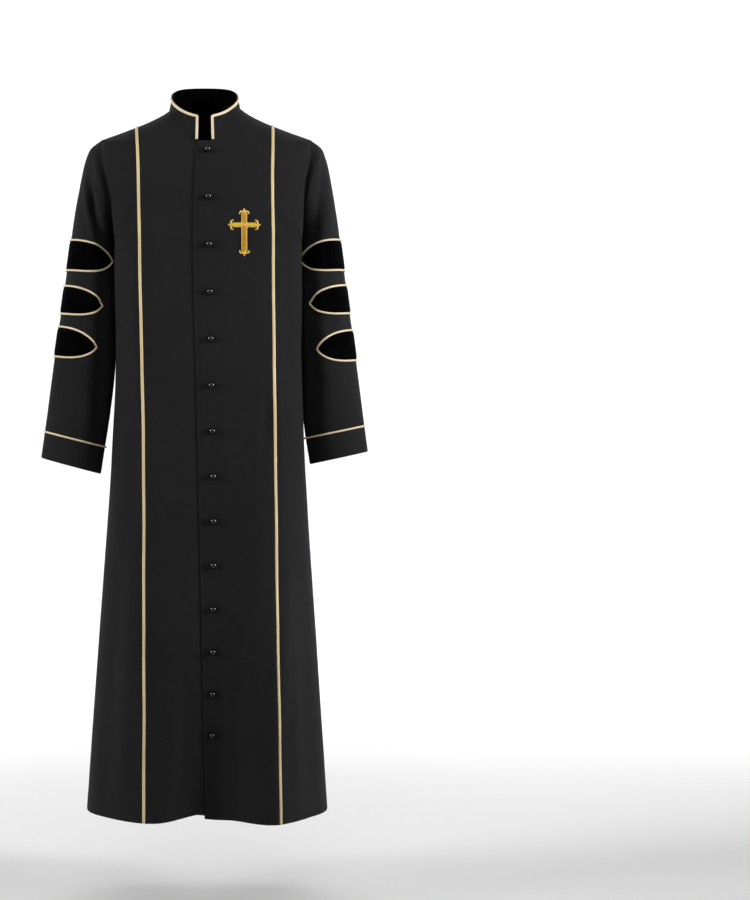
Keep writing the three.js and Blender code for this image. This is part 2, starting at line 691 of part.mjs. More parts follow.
// The piping lies on the band's outside: up its front end, round the corner and along its top edge.
function collarPipingGeometry() {
  const half = COLLAR_PIPING.width / 2;
  const bend = half + SEAM_GAP;
  const angleAt = (fromEnd) => Math.asin((COLLAR_END_X + fromEnd) / NECK_HALF);
  const { height } = collarRule(angleAt(half));
  const up = [height - COLLAR_PIPING.foot, lerp(height, half + bend, 0.5)].map((below) => (
    { angle: angleAt(half), below }
  ));
  const turn = [0, 30, 60, 90].map((degrees) => THREE.MathUtils.degToRad(degrees)).map((at) => (
    { angle: angleAt(half + bend - bend * Math.cos(at)), below: half + bend - bend * Math.sin(at) }
  ));
  const front = [...up, ...turn];
  const back = front.map(({ angle, below }) => ({ angle: 2 * Math.PI - angle, below })).reverse();
  const topAngles = NECK_ANGLES.filter((angle) => Math.cos(angle) < Math.cos(angleAt(half + 2 * bend)));
  const route = [...front, ...topAngles.map((angle) => ({ angle, below: half })), ...back];
  const normals = route.map(({ angle, below }) => collarNormal(angle, below));
  const points = route.map(({ angle, below }) => collarPoint(angle, below));
  const along = tangents(points);
  const stations = points.map((point, i) => (
    { point, up: normals[i], side: along[i].clone().cross(normals[i]).normalize() }
  ));
  const lift = SEAT_GAP + COLLAR_PIPING.thickness / 2;
  return sweepGeometry(stations, roundSection(COLLAR_PIPING.width, COLLAR_PIPING.thickness, lift, 6));
}

// ---- Trim on the front ----

function frontPipingGeometry(front, index) {
  const points = front.points.map((row) => row[index]);
  const normals = front.normals.map((row) => row[index]);
  const along = tangents(points);
  const stations = points.map((point, i) => ({
    point,
    up: normals[i],
    side: along[i].clone().cross(normals[i]).normalize(),
  }));
  const { width, height, seat } = FRONT_PIPING;
  const section = [
    [-width / 2, seat],
    [-width * 0.38, seat + height * 0.7],
    [0, seat + height],
    [width * 0.38, seat + height * 0.7],
    [width / 2, seat],
  ];
  return sweepGeometry(stations, section);
}

function frontNormal(x, z) {
  const across = skinPoint(x + 6, z, -1).sub(skinPoint(x - 6, z, -1));
  const down = skinPoint(x, z - 6, -1).sub(skinPoint(x, z + 6, -1));
  return down.cross(across).normalize();
}

function buttonGeometry() {
  const r = BUTTON_RADIUS;
  const profile = [
    [0, 0],
    [r * 0.62, 0],
    [r, r * 0.45],
    [r * 0.8, r * 0.95],
    [0, r * 1.25],
  ].map(([x, y]) => new THREE.Vector2(x, y));
  const geometry = new THREE.LatheGeometry(profile, 10);
  geometry.deleteAttribute("uv");
  return geometry;
}

// Where a line along Y meets the facets of a skin, and the direction that its facet faces.
function seatOn(source, x, z) {
  const flat = (p) => new THREE.Vector3(p.x, 0, p.z);
  const { points } = source;
  for (let r = 0; r < points.length - 1; r += 1) {
    for (let c = 0; c < points[0].length - 1; c += 1) {
      const [a, b] = [points[r][c], points[r + 1][c + 1]];
      for (const third of [points[r + 1][c], points[r][c + 1]]) {
        const share = new THREE.Vector3();
        THREE.Triangle.getBarycoord(new THREE.Vector3(x, 0, z), flat(a), flat(b), flat(third), share);
        if (Math.min(share.x, share.y, share.z) < 0) continue;
        const y = a.y * share.x + b.y * share.y + third.y * share.z;
        const normal = b.clone().sub(a).cross(third.clone().sub(a)).normalize();
        return { point: new THREE.Vector3(x, y, z), normal: normal.y > 0 ? normal.negate() : normal };
      }
    }
  }
  throw new Error(`no cloth at ${x}, ${z}`);
}

function buttonMatrix(front, index) {
  const z = BUTTON_FIRST_Z - BUTTON_PITCH * index + BUTTON_CLOSING * index * index;
  const x = column(BUTTON_LINE, "z", "x")(z);
  const { point, normal } = seatOn(front, x, z);
  const turn = new THREE.Quaternion().setFromUnitVectors(new THREE.Vector3(0, 1, 0), normal);
  const place = point.addScaledVector(normal, BUTTON_SEAT);
  return new THREE.Matrix4().makeRotationFromQuaternion(turn).setPosition(place);
}

// A quarter of the way round each end of the cross: a point, a curled leaf and the neck behind it.
// Pairs are (along the arm from its end, out from its middle).
function crossEnd(length, halfWidth) {
  return [
    [length - CROSS_END, halfWidth],
    [length - 10.5, halfWidth * 1.3],
    [length - 11.5, CROSS_LEAF * 0.72],
    [length - 9, CROSS_LEAF],
    [length - 6, CROSS_LEAF * 0.88],
    [length - 5, halfWidth * 1.5],
    [length - 2.5, halfWidth * 1.1],
  ];
}

// The outline runs clockwise. Each arm goes out along its left edge and comes back along its right.
function crossOutline() {
  const arms = [
    { turn: 0, length: CROSS.up, half: CROSS_STEM / 2, start: CROSS_BAR / 2 },
    { turn: -90, length: CROSS.arm, half: CROSS_BAR / 2, start: CROSS_STEM / 2 },
    { turn: 180, length: CROSS.down, half: CROSS_STEM / 2, start: CROSS_BAR / 2 },
    { turn: 90, length: CROSS.arm, half: CROSS_BAR / 2, start: CROSS_STEM / 2 },
  ];
  return arms.flatMap(({ turn, length, half, start }) => {
    const steps = Math.max(2, Math.round((length - CROSS_END - start) / 9));
    const straight = evenly(steps, start, length - CROSS_END).slice(0, -1).map((along, i) =>
      [along, half * (1 - CROSS_WAIST * Math.sin((Math.PI * i) / steps))]);
    const right = [...straight, ...crossEnd(length, half)];
    const left = right.slice(1).map(([along, out]) => [along, -out]);
    const angle = THREE.MathUtils.degToRad(turn);
    return [...left, [length, 0], ...right.reverse()].map(([along, out]) => new THREE.Vector2(
      out * Math.cos(angle) - along * Math.sin(angle),
      out * Math.sin(angle) + along * Math.cos(angle),
    ));
  });
}

function crossGeometry() {
  const outline = crossOutline();
  const faces = THREE.ShapeUtils.triangulateShape(outline, []);
  const level = (lift) => outline.map(({ x, y }) => {
    const [px, pz] = [CROSS.x + x, CROSS.z + y];
    return skinPoint(px, pz, -1).addScaledVector(frontNormal(px, pz), lift);
  });
  const base = SEAT_GAP + 0.5;
  const count = outline.length;
  const triangles = [];
  for (const [a, b, c] of faces) {
    triangles.push([a, b, c], [a + count, c + count, b + count]);
  }
  for (let i = 0; i < count; i += 1) {
    const next = (i + 1) % count;
    triangles.push([next, i + count, i], [next, next + count, i + count]);
  }
  return geometryOf([...level(base + CROSS_THICKNESS), ...level(base)], triangles);
}

// ---- The robe ----

const robe = new THREE.Group();

function add(name, geometry, colour, roughness, metalness = 0) {
  const material = new THREE.MeshStandardMaterial({ color: colour, roughness, metalness });
  const mesh = new THREE.Mesh(geometry, material);
  mesh.name = name;
  robe.add(mesh);
  return mesh;
}

function addPanel(name, { points, normals }) {
  add(name, wallGeometry(points, movedOut(points, normals, -CLOTH)), COLOURS.cloth, 0.75);
}

function addBody(front) {
  const back = partSkins(backSkin(), 1);
  const seam = { right: 5, lap: 13, under: 15, left: 23, last: front.columns.length - 1 };
  addPanel("front_side_right", panel(front, 0, seam.right, { first: false, last: true }));
  addPanel("front_side_left", panel(front, seam.left, seam.last, { first: true, last: false }));
  addPanel("front_center_left", panel(front, seam.lap, seam.left, { first: false, last: true }));
  const lower = panel(front, seam.right, seam.under, { first: true, last: false });
  lower.points.forEach((row, r) => row.forEach((point, c) => {
    const tuck = c >= seam.lap - seam.right - 1 ? 1 : 0;
    point.addScaledVector(lower.normals[r][c], -tuck * (CLOTH + SEAM_GAP + 0.1));
  }));
  addPanel("front_center_right", lower);
  addPanel("back", panel(back, 0, back.columns.length - 1, { first: false, last: false }));
  add("front_piping_right", frontPipingGeometry(front, seam.right), COLOURS.gold, 0.4, 0.3);
  add("front_piping_left", frontPipingGeometry(front, seam.left), COLOURS.gold, 0.4, 0.3);
}

function addSleeves() {
  for (const side of SIDES) {
    add(`sleeve_${side.name}`, tubeWall(side, SLEEVE_STEPS), COLOURS.cloth, 0.75);
    add(`cuff_${side.name}`, tubeWall(side, CUFF_STEPS), COLOURS.cloth, 0.75);
    add(`cuff_piping_${side.name}`, cuffPipingGeometry(side), COLOURS.paleGold, 0.4, 0.3);
    for (const bar of BARS) {
      add(`bar_${side.name}_${bar.name}`, barGeometry(side, bar), COLOURS.velvet, 1);
      add(`bar_piping_${side.name}_${bar.name}`, barPipingGeometry(side, bar), COLOURS.paleGold, 0.4, 0.3);
    }
  }
}

function addCollar() {
  add("collar", collarGeometry(), COLOURS.cloth, 0.75);
  add("collar_piping", collarPipingGeometry(), COLOURS.paleGold, 0.4, 0.3);
}

function addButtons(front) {
  for (let i = 0; i < BUTTON_COUNT; i += 1) {
    const mesh = add(`button_${String(i + 1).padStart(2, "0")}`, buttonGeometry(), COLOURS.button, 0.2);
    mesh.applyMatrix4(buttonMatrix(front, i));
  }
}

const frontCloth = partSkins(frontSkin(), -1);

addBody(frontCloth);
addSleeves();
addCollar();
addButtons(frontCloth);
add("cross", crossGeometry(), COLOURS.thread, 0.45, 0.3);

export default robe;
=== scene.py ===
# The looks of a clergy robe, filled out as it is worn, with no wearer.
#
# The robe is worked out in millimetres, from the same driving sizes as the CAD source, and turned to
# metres when a mesh is made. The floor, lights and camera are in metres. +Z is up, the front faces -Y and
# the wearer's left is +X. The origin is the middle of the neck, level with the two points where the
# shoulder seams reach it.
import math

import bmesh
import bpy
import numpy as np
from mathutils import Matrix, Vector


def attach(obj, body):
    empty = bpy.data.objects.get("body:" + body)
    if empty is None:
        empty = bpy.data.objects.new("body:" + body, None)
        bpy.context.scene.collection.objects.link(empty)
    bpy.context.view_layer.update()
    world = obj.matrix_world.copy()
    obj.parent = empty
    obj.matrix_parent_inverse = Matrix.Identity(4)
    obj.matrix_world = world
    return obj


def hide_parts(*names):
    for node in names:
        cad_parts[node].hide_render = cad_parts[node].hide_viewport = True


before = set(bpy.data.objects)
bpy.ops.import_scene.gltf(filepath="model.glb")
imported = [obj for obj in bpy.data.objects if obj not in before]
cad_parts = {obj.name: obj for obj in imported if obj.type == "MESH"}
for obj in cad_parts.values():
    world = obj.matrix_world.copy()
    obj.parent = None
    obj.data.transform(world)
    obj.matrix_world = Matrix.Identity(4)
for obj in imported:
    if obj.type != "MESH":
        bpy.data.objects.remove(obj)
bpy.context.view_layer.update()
MM = 0.001
FRONT, BACK = -1, 1
RIGHT, LEFT = -1, 1
SIDE_NAMES = {RIGHT: "right", LEFT: "left"}


def table(names, *rows):
    """A short table with named columns, as a dict of arrays."""
    return dict(zip(names.split(), np.array(rows, float).T))


def creases(*rows):
    return table("x0 z0 x1 z1 bow width depth", *rows)


# ---- Cloth and seams ----
CLOTH = 1.6
COLLAR_CLOTH = 2.4
VELVET_CLOTH = 0.5
SEAM_GAP = 0.3
SEAT_GAP = 0.35
SEAM_DEPTH = 0.7
FINE_SEAM_DEPTH = 0.25
SEAM_WIDTH = 4.5
# How far a cut edge bulges past its middle, as a share of the cloth's thickness.
EDGE_ROUND = 0.35
# How far the cloth stands out at a seam that lies in a hollow, and how far that reaches.
NECK_EASE = dict(out=1.5, reach=13, side=14)
ARMHOLE_EASE = dict(out=2.2, reach=28, top=-68, top_run=40, bottom=-240, bottom_run=60)
# Creases are weak at a seam down the body, and die away at the shoulder and neck.
CREASE_AT_SEAM = dict(share=0.25, reach=20)
CREASE_AT_TOP_REACH = 26
# Down to the cuffs, the cloth near a side seam may stand out only this far, to stay off the sleeve.
BESIDE_SLEEVE = dict(down_to=-760, reach=12, least=0.2, out=9)
HEM_EDGE = dict(drawn_in=0.5, reach=3)
HEM_TURNING = dict(height=33, step=3, out=0.3)
BUTTON_DIMPLE = dict(across=17, down=13, depth=1.1)
LAP_CORNER = dict(drop=6, reach=60, top=-1250, fall=120)
LAP_STITCHES = dict(row=120, inset=7, width=1.6, sunk=0.12, pitch=3.4, length=2.5, radius=0.28)
LAP_TUCK = dict(gap=0.5, starts=16, run=15)

# ---- Main sizes, as in the CAD source ----
HEM_Z = -1370
CHEST_Z = -264
SHOULDER_X, SHOULDER_Z = 206, -62
SHOULDER_SAG = 6
NECK_HALF, NECK_X, NECK_FRONT_Y, NECK_BACK_Y = 70, -3, -82, 59
RIDGE_NECK_Y, RIDGE_SHOULDER_Y, SIDE_SEAM_Y = 20, 3, 5
ARMHOLE_DEPTH = 60
SECTION_POWER = 2.2
SQUARE_END = dict(power=4, bend=0.22)
BODY_SECTIONS = table(
    "z front back bend square",
    (32, 19, 21, 0.47, 0),
    (0, -45, 66, 0.47, 0),
    (-30, -62, 82, 0.47, 0),
    (-70, -79, 94, 0.5, 0),
    (-120, -98, 105, 0.62, 0),
    (-180, -114, 113, 0.62, 0),
    (-264, -126, 118, 0.46, 1),
    (-420, -131, 117, 0.46, 1),
    (-554, -133, 113, 0.46, 1),
    (-760, -143, 122, 0.46, 0.5),
    (-1060, -165, 152, 0.46, 0),
    (-1370, -186, 184, 0.46, 0),
)
SIDE_SEAMS = table(
    "z half", (-264, 176), (-420, 177), (-554, 181.8), (-760, 194), (-1060, 214.5), (-1370, 235)
)
# The largest folds: where the fold lies, half its width at the hem, how far it stands out, where it
# starts, and whether its bottom is sharp.
FOLD_COLUMNS = "x half out top pinched"
FOLDS = {
    FRONT: table(FOLD_COLUMNS, (-128, 82, 20, -620, 0), (136, 84, 42, -560, 0), (6, 100, -50, -480, 0)),
    BACK: table(FOLD_COLUMNS, (-7, 68, -112, -520, 1), (92, 62, 16, -700, 0), (-94, 58, 4, -760, 0)),
}
# How far the front's corners stand out past the side seams, over the inner side of each sleeve, and
# where a corner lies, as shares of the way from the middle to the seam.
CORNERS = table(
    "z right left",
    (-130, 0, 0),
    (-178, 1, 6),
    (-222, 4, 11),
    (-264, 6, 14),
    (-340, 6.5, 13.5),
    (-420, 6.5, 12),
    (-492, 6, 9),
    (-554, 4.5, 6.5),
    (-630, 3, 3.5),
    (-760, 0, 0),
)
SKIRT_LEAN = table("z x", (-310, 0), (-420, 1.4), (-600, 3.8), (-1000, 3), (-1370, 1.8))
CORNER = dict(starts=0.8, rise=0.17, ends=0.965, drawn_in=1.8, seam=0.0003, drawn=0.02)
# Where the hem rises between the folds: in the middle of the front and at the back's fold.
HEM_RISE = {
    FRONT: dict(x=-20, half=78, height=10, top=-1000),
    BACK: dict(x=-7, half=34, height=17, top=-1000),
}
FRONT_LINES = table(
    "z lap under right left",
    (-30, -20, 20, -135.5, 130),
    (-150, -25, 24, -130, 127.5),
    (-570, -21.5, 26.5, -124.3, 127.1),
    (-960, -13, 33, -121.2, 131.6),
    (-1370, -4.3, 38.2, -119.2, 138.3),
)
SLEEVE_RINGS = table(
    "step outer_x outer_z inner_z right left depth centre_y",
    (0, 206.4, -62, -264, 176.4, 176.4, 60, 4),
    (1, 227, -79, -269, 177.4, 177.4, 63, 4),
    (2, 237, -104, -274, 177.8, 177.8, 65, 3),
    (3, 249, -165, -284, 177.8, 177.8, 66, -1),
    (4, 259, -230, -304, 177.6, 177.6, 66, -8),
    (5, 268, -300, -340, 176.8, 177, 64, -16),
    (6, 279, -385, -407, 175.4, 177.2, 61, -24),
    (7, 291, -472, -492, 176.6, 181, 57, -28),
    (8, 302, -560, -584, 186, 185.4, 50, -30),
    (9, 311, -627, -654, 196.8, 193.5, 45, -31),
    (10, 318, -677, -705, 204.8, 201.5, 43, -32),
)
CUFF_SEAM, CUFF_GAP = 9, 0.003
SLEEVE_STEPS = [0, 0.5, 1, 1.5, 2, 2.5, 3, 3.6, 4.3, 5, 5.5, 6, 6.5, 7, 7.6, 8.3, CUFF_SEAM - CUFF_GAP]
TUBE_COLUMNS, TUBE_RADIUS = 84, 55
# A sleeve's creases pass from its front to its back over a stretch, its inner side is filled out near
# the underarm, and no crease reaches its ends.
SLEEVE_FRONT_TO_BACK = 1.6
SLEEVE_INNER = dict(half_degrees=62, filled=0.7, step=3, steps=3.5)
SLEEVE_TOP = dict(step=-0.05, run=0.9)
SLEEVE_BOTTOM = dict(step=10.4, run=0.8)
SIDES = {
    "right": dict(name="right", sign=-1, swing=1.03, outer_drop=5.5, inner_drop=8.5, bar_tilt=9.4),
    "left": dict(name="left", sign=1, swing=0.97, outer_drop=-5.5, inner_drop=-8.5, bar_tilt=7.3),
}
BARS = [
    dict(name="1", height=55.5, reach=145, right=-289.5, left=-289.5),
    dict(name="2", height=50.5, reach=122, right=-376.5, left=-376),
    dict(name="3", height=54.5, reach=111, right=-457.5, left=-465),
]
BAR_POWER = 5
BAR_EDGE = dict(rise=1.5, share=0.9, reach=3.2)
COLLAR_END_X = 13
COLLAR_END_ANGLE = math.asin(COLLAR_END_X / NECK_HALF)
COLLAR_LIFT = 0.5
COLLAR_WAVE = dict(out=0.5, length=23)
COLLAR_TOP = dict(half=65, front_y=-72, side_y=12, back_y=53, side=25, tilt=35.5, hollow=12.5)
COLLAR_PIPING = dict(width=5, height=2, foot=0.6)
FRONT_PIPING = dict(width=5.8, height=2.2)
CORD_RADIUS = 1.9
BAR_PIPING_GAP = 0.55
BUTTON_COUNT, BUTTON_FIRST_Z, BUTTON_PITCH, BUTTON_CLOSING = 14, -92, 93.3, 0.54
BUTTON_LINE = table("z x", (-92, 2.5), (-550, 10), (-800, 14), (-1213, 11.5))
BUTTON_RADIUS = 6.5
BUTTON_BALL = dict(middle=5.4, half_height=6.1)
BUTTONHOLE = dict(starts=-8.5, ends=5.5, slit=0.35, half=1.75, slant=0.15, thread=0.36)
CROSS_X, CROSS_Z, CROSS_UP, CROSS_DOWN, CROSS_ARM = 72.5, -239.5, 32.5, 60, 31.5
# The shapes of a flat piping, from its middle out to one side, and of a stitch, from end to end.
BRAID_HALF = [(0.2, 1), (0.55, 0.95), (0.85, 0.74), (0.985, 0.42), (1, 0.05)]
BRAID_SECTION = table("side up", *((-side, up) for side, up in BRAID_HALF[::-1]), *BRAID_HALF)
STITCH = table("place girth", (-0.5, 0.25), (-0.32, 0.85), (0, 1), (0.32, 0.85), (0.5, 0.25))


# ---- Numbers ----
def lerp(a, b, t):
    return a + (b - a) * t


def soft_step(t):
    t = np.clip(t, 0, 1)
    return t * t * (3 - 2 * t)


def bump(t):
    """1 at 0, falling softly to 0 at 1 either way."""
    return (1 - np.clip(np.abs(t), 0, 1) ** 2) ** 2


def curve(x, y):
    """A smooth curve through points, with no overshoot between them."""
    order = np.argsort(x)
    x, y = x[order], y[order]
    slope = np.diff(y) / np.diff(x)
    before, after = np.r_[slope[:1], slope], np.r_[slope, slope[-1:]]
    total = np.where(before * after > 0, before + after, 1)
    tangent = np.where(before * after > 0, 2 * before * after / total, 0)

    def at(v):
        v = np.clip(v, x[0], x[-1])
        i = np.clip(np.searchsorted(x, v) - 1, 0, len(x) - 2)
        w = x[i + 1] - x[i]
        s = (v - x[i]) / w
        rise = (1 + 2 * s) * (1 - s) ** 2 * y[i] + s * s * (3 - 2 * s) * y[i + 1]
        return rise + w * (s * (1 - s) ** 2 * tangent[i] - s * s * (1 - s) * tangent[i + 1])

    return at


def curves(rows):
    """A curve for each later column of a table, along its first one."""
    key, *names = rows
    return {name: curve(rows[key], rows[name]) for name in names}


def solve(rising, target, low, high):
    """Where a rising function reaches a target, for arrays of targets."""
    low, high = np.broadcast_arrays(low + 0.0 * target, high + 0.0 * target)
    for _ in range(40):
        middle = (low + high) / 2
        below = rising(middle) < target
        low, high = np.where(below, middle, low), np.where(below, high, middle)
    return (low + high) / 2


def unit(v):
    return v / np.maximum(np.linalg.norm(v, axis=-1, keepdims=True), 1e-9)


def stack(*parts):
    return np.stack(np.broadcast_arrays(*parts), axis=-1)


def matched(a, b):
    return np.broadcast_arrays(np.asarray(a, float), np.asarray(b, float))


def lengths(points):
    """How far along a line each of its points lies."""
    return np.r_[0, np.cumsum(np.linalg.norm(np.diff(points, axis=0), axis=-1))]


def sampled(values, run, at):
    """Points or directions between those of a line, at places along it."""
    return np.stack([np.interp(at, run, values[:, k]) for k in range(3)], -1)


def full_turn(count):
    return 2 * np.pi * np.arange(count) / count


# ---- Creases ----
# Each runs from (x0, z0) to (x1, z1), bowed sideways in its middle, and dies away at both ends.
# Depth is positive for a trough and negative for a ridge. x counts from the wearer's right to left.
FRONT_CREASES = creases(
    (-166, -262, -128, -178, 6, 13, 2.6),
    (-170, -300, -118, -246, 8, 11, 1.6),
    (168, -268, 124, -196, -6, 15, 2.2),
    (171, -318, 128, -262, -7, 12, 1.5),
    (-158, -330, -150, -720, 8, 26, 4.2),
    (-140, -560, -152, -900, -6, 22, 2.6),
    (150, -340, 158, -640, -6, 24, 3.2),
    (118, -540, 112, -700, 4, 17, 3.0),
    (-100, -420, -92, -860, -8, 26, 1.6),
    (-60, -620, -74, -1150, 6, 30, 1.9),
    (62, -700, 54, -1180, -6, 34, 2.0),
    (-165, -760, -186, -1460, 10, 34, 5.5),
    (166, -700, 186, -1460, -12, 36, 6.5),
    (-142, -960, -150, -1500, -5, 24, 3.2),
    (160, -980, 158, -1500, 6, 20, 3.4),
    (-88, -900, -78, -1500, 5, 22, 2.6),
    (96, -860, 104, -1500, -7, 24, 3.2),
    (-44, -1060, -40, -1500, 4, 18, 2.0),
    (58, -1080, 66, -1480, 3, 18, 1.8),
    (-112, -486, -166, -470, 4, 9, 1.3),
    (-118, -520, -170, -514, -3, 8, 1.0),
    (122, -498, 168, -484, 3, 9, 1.2),
    (-58, -96, -118, -112, -6, 12, 1.2),
    (60, -100, 122, -118, 6, 12, 1.0),
    (-64, -150, -30, -260, 8, 20, 0.9),
    (96, -300, 106, -470, 6, 24, -1.6),
    (-22, -98, -38, -230, -4, 15, 1.0),
)
BACK_CREASES = creases(
    (-7, -320, -8, -900, 0, 9, 2.6),
    (-14, -640, -22, -1240, -4, 18, 2.4),
    (8, -700, 18, -1260, 5, 20, 2.6),
    (-164, -258, -112, -150, 8, 14, 3.0),
    (-168, -312, -120, -232, 9, 12, 1.8),
    (166, -262, 116, -160, -8, 15, 2.6),
    (170, -322, 130, -250, -8, 12, 1.6),
    (-152, -120, -138, -330, 10, 20, 2.2),
    (154, -118, 136, -340, -12, 22, 2.4),
    (-60, -62, -96, -84, 5, 12, 1.4),
    (64, -58, 104, -80, -5, 13, 1.5),
    (-46, -120, -62, -520, -7, 30, 1.4),
    (58, -150, 66, -600, 8, 32, 1.6),
    (-118, -420, -128, -980, 8, 28, 3.4),
    (126, -400, 120, -960, -8, 28, 3.2),
    (-156, -640, -176, -1460, 10, 32, 5.2),
    (160, -600, 178, -1460, -10, 34, 5.0),
    (-66, -820, -70, -1500, -5, 26, 3.4),
    (74, -860, 66, -1500, 6, 24, 3.0),
    (-112, -1000, -122, -1500, 4, 22, 3.2),
    (118, -960, 130, -1500, -6, 24, 3.6),
    (-34, -1040, -40, -1480, 3, 16, 2.0),
    (36, -1060, 34, -1480, -3, 14, 1.8),
    (-152, -492, -110, -486, 4, 9, 1.2),
    (154, -476, 112, -484, -4, 9, 1.2),
    (-36, -44, 34, -46, -6, 10, 1.4),
)
CREASES = {FRONT: FRONT_CREASES, BACK: BACK_CREASES}
# On a sleeve x counts out from the middle of the body. These are the fronts, then the backs.
SLEEVE_FRONT_CREASES = {
    "right": creases(
        (229, -134, 192, -292, -6, 9.5, 13.5),
        (214, -84, 197, -264, 0, 14, -11.0),
        (246, -150, 236, -262, 5, 15, 2.0),
        (190, -300, 224, -322, 3, 9, 2.2),
        (186, -372, 232, -402, 5, 12, 3.0),
        (188, -430, 246, -418, -5, 10, 2.4),
        (186, -494, 236, -520, 5, 13, 3.2),
        (194, -560, 252, -556, -4, 10, 1.8),
        (272, -470, 282, -600, 4, 18, 1.6),
        (208, -540, 218, -690, 4, 16, 2.6),
        (192, -262, 206, -700, -6, 17, 6.0),
    ),
    "left": creases(
        (228, -132, 192, -292, -4, 19, 9.0),
        (216, -76, 198, -206, 0, 15, -9.0),
        (206, -84, 192, -192, 0, 9, -5.0),
        (248, -140, 240, -250, 4, 16, 1.8),
        (186, -330, 218, -356, 4, 10, 2.4),
        (188, -398, 240, -414, 5, 13, 2.8),
        (186, -462, 228, -456, -4, 10, 2.4),
        (190, -520, 244, -540, 5, 14, 3.0),
        (266, -500, 274, -610, -4, 18, 1.4),
        (204, -560, 214, -690, 3, 15, 2.6),
        (192, -250, 208, -680, -5, 18, 6.0),
    ),
}
SLEEVE_BACK_CREASES = {
    "right": creases(
        (222, -124, 188, -272, -8, 13, 5.2),
        (238, -140, 214, -268, 6, 16, 2.4),
        (188, -352, 228, -338, -4, 10, 2.6),
        (190, -420, 246, -444, 5, 13, 3.4),
        (192, -486, 240, -474, -4, 11, 2.6),
        (206, -560, 262, -580, 4, 13, 2.2),
        (284, -500, 296, -640, 3, 16, 1.8),
    ),
    "left": creases(
        (224, -120, 190, -262, -9, 14, 4.8),
        (236, -150, 212, -258, 5, 14, 2.2),
        (188, -380, 236, -368, -4, 11, 2.6),
        (190, -446, 240, -470, 5, 13, 3.0),
        (196, -520, 250, -512, -4, 12, 2.4),
        (270, -490, 280, -630, -4, 17, 1.6),
    ),
}
PUCKERS = table("length phase share", (19, 0.4, 1), (31, 2.1, 0.7), (11.5, 4.0, 0.45))


def creased(rows, x, z):
    """How far the cloth stands out at (x, z), in millimetres."""
    out = np.zeros(np.broadcast(x, z).shape)
    for x0, z0, x1, z1, bow, width, depth in zip(*rows.values()):
        length = math.hypot(x1 - x0, z1 - z0)
        ux, uz = (x1 - x0) / length, (z1 - z0) / length
        t = ((x - x0) * ux + (z - z0) * uz) / length
        inside = (t > 0) & (t < 1)
        t = np.clip(t, 0, 1)
        aside = (x - x0) * uz - (z - z0) * ux - 4 * bow * t * (1 - t)
        fade = np.where(inside, np.sin(np.pi * t) ** 1.3, 0)
        wide = width * (0.75 + 0.5 * t)
        trough = bump(aside / wide) - 0.3 * bump((np.abs(aside) / wide - 1.35) / 0.75)
        out -= depth * fade * trough
    return out


def puckered(along, away, size=0.3, reach=14):
    """The fine unevenness that stitching gives the cloth near a seam."""
    waves = zip(*PUCKERS.values())
    wave = sum(share * np.sin(2 * np.pi * along / length + phase) for length, phase, share in waves)
    return size * wave * np.exp(-away / reach)


def eased(ease, away):
    """What takes the corner off a hollow seam."""
    return ease["out"] * (1 - np.clip(away / ease["reach"], 0, 1)) ** 2


def armhole_ease(z, away):
    """The front and the back of an armhole seam are hollow, and its top and underarm are not."""
    below_top = soft_step((ARMHOLE_EASE["top"] - z) / ARMHOLE_EASE["top_run"])
    above_underarm = soft_step((z - ARMHOLE_EASE["bottom"]) / ARMHOLE_EASE["bottom_run"])
    return eased(ARMHOLE_EASE, away) * below_top * above_underarm


def neck_ease(from_side, away):
    return eased(NECK_EASE, away) * soft_step(from_side / NECK_EASE["side"])


# ---- The body's surface ----
section = curves(BODY_SECTIONS)
line = curves(FRONT_LINES)
corner_reach = curves(CORNERS)
side_half = curves(SIDE_SEAMS)["half"]
skirt_lean = curves(SKIRT_LEAN)["x"]
button_line = curves(BUTTON_LINE)["x"]


def ridge_z(x):
    return SHOULDER_Z * (np.abs(x) - NECK_HALF) / (SHOULDER_X - NECK_HALF)


def edge_x(z):
    slope = NECK_HALF + z / SHOULDER_Z * (SHOULDER_X - NECK_HALF)
    arm = lerp(SHOULDER_X, side_half(CHEST_Z), (z - SHOULDER_Z) / (CHEST_Z - SHOULDER_Z))
    return np.where(z > SHOULDER_Z, slope, np.where(z > CHEST_Z, arm, side_half(z)))


def edge_y(z, way):
    slope = lerp(RIDGE_NECK_Y, RIDGE_SHOULDER_Y, z / SHOULDER_Z)
    along = (z - SHOULDER_Z) / (CHEST_Z - SHOULDER_Z)
    circle = np.sqrt(np.maximum(0, 1 - (2 * along - 1) ** 2))
    arm = lerp(RIDGE_SHOULDER_Y, SIDE_SEAM_Y, along) + way * ARMHOLE_DEPTH * circle
    return np.where(z > SHOULDER_Z, slope, np.where(z > CHEST_Z, arm, SIDE_SEAM_Y))


def fold_depth(x, z, way):
    total = 0
    for middle, half, out, top, pinched in zip(*FOLDS[way].values()):
        across = np.clip(np.abs(x - middle) / half, 0, 1)
        down = np.clip((top - z) / (top - HEM_Z), 0, 1)
        shape = (1 - across) ** 1.5 if pinched else (1 + np.cos(np.pi * across)) / 2
        total = total + out * shape * down**1.4
    return total


def skin_y(x, z, way):
    across = np.minimum(1, np.abs(x) / edge_x(z))
    middle = section["front" if way == FRONT else "back"](z)
    edge = edge_y(z, way)
    profile = (1 - across**SECTION_POWER) ** section["bend"](z)
    if way == FRONT:
        square = (1 - across ** SQUARE_END["power"]) ** SQUARE_END["bend"]
        profile = lerp(profile, square, section["square"](z))
    return edge + (middle - edge) * profile + way * fold_depth(x, z, way)


def shoulder_sag(x, z):
    """The shoulder seams hang a little between the neck and the sleeves."""
    along = np.clip((np.abs(x) - NECK_HALF) / (SHOULDER_X - NECK_HALF), 0, 1)
    return SHOULDER_SAG * np.sin(np.pi * along**0.6) * soft_step(1 - (ridge_z(x) - z) / 70)


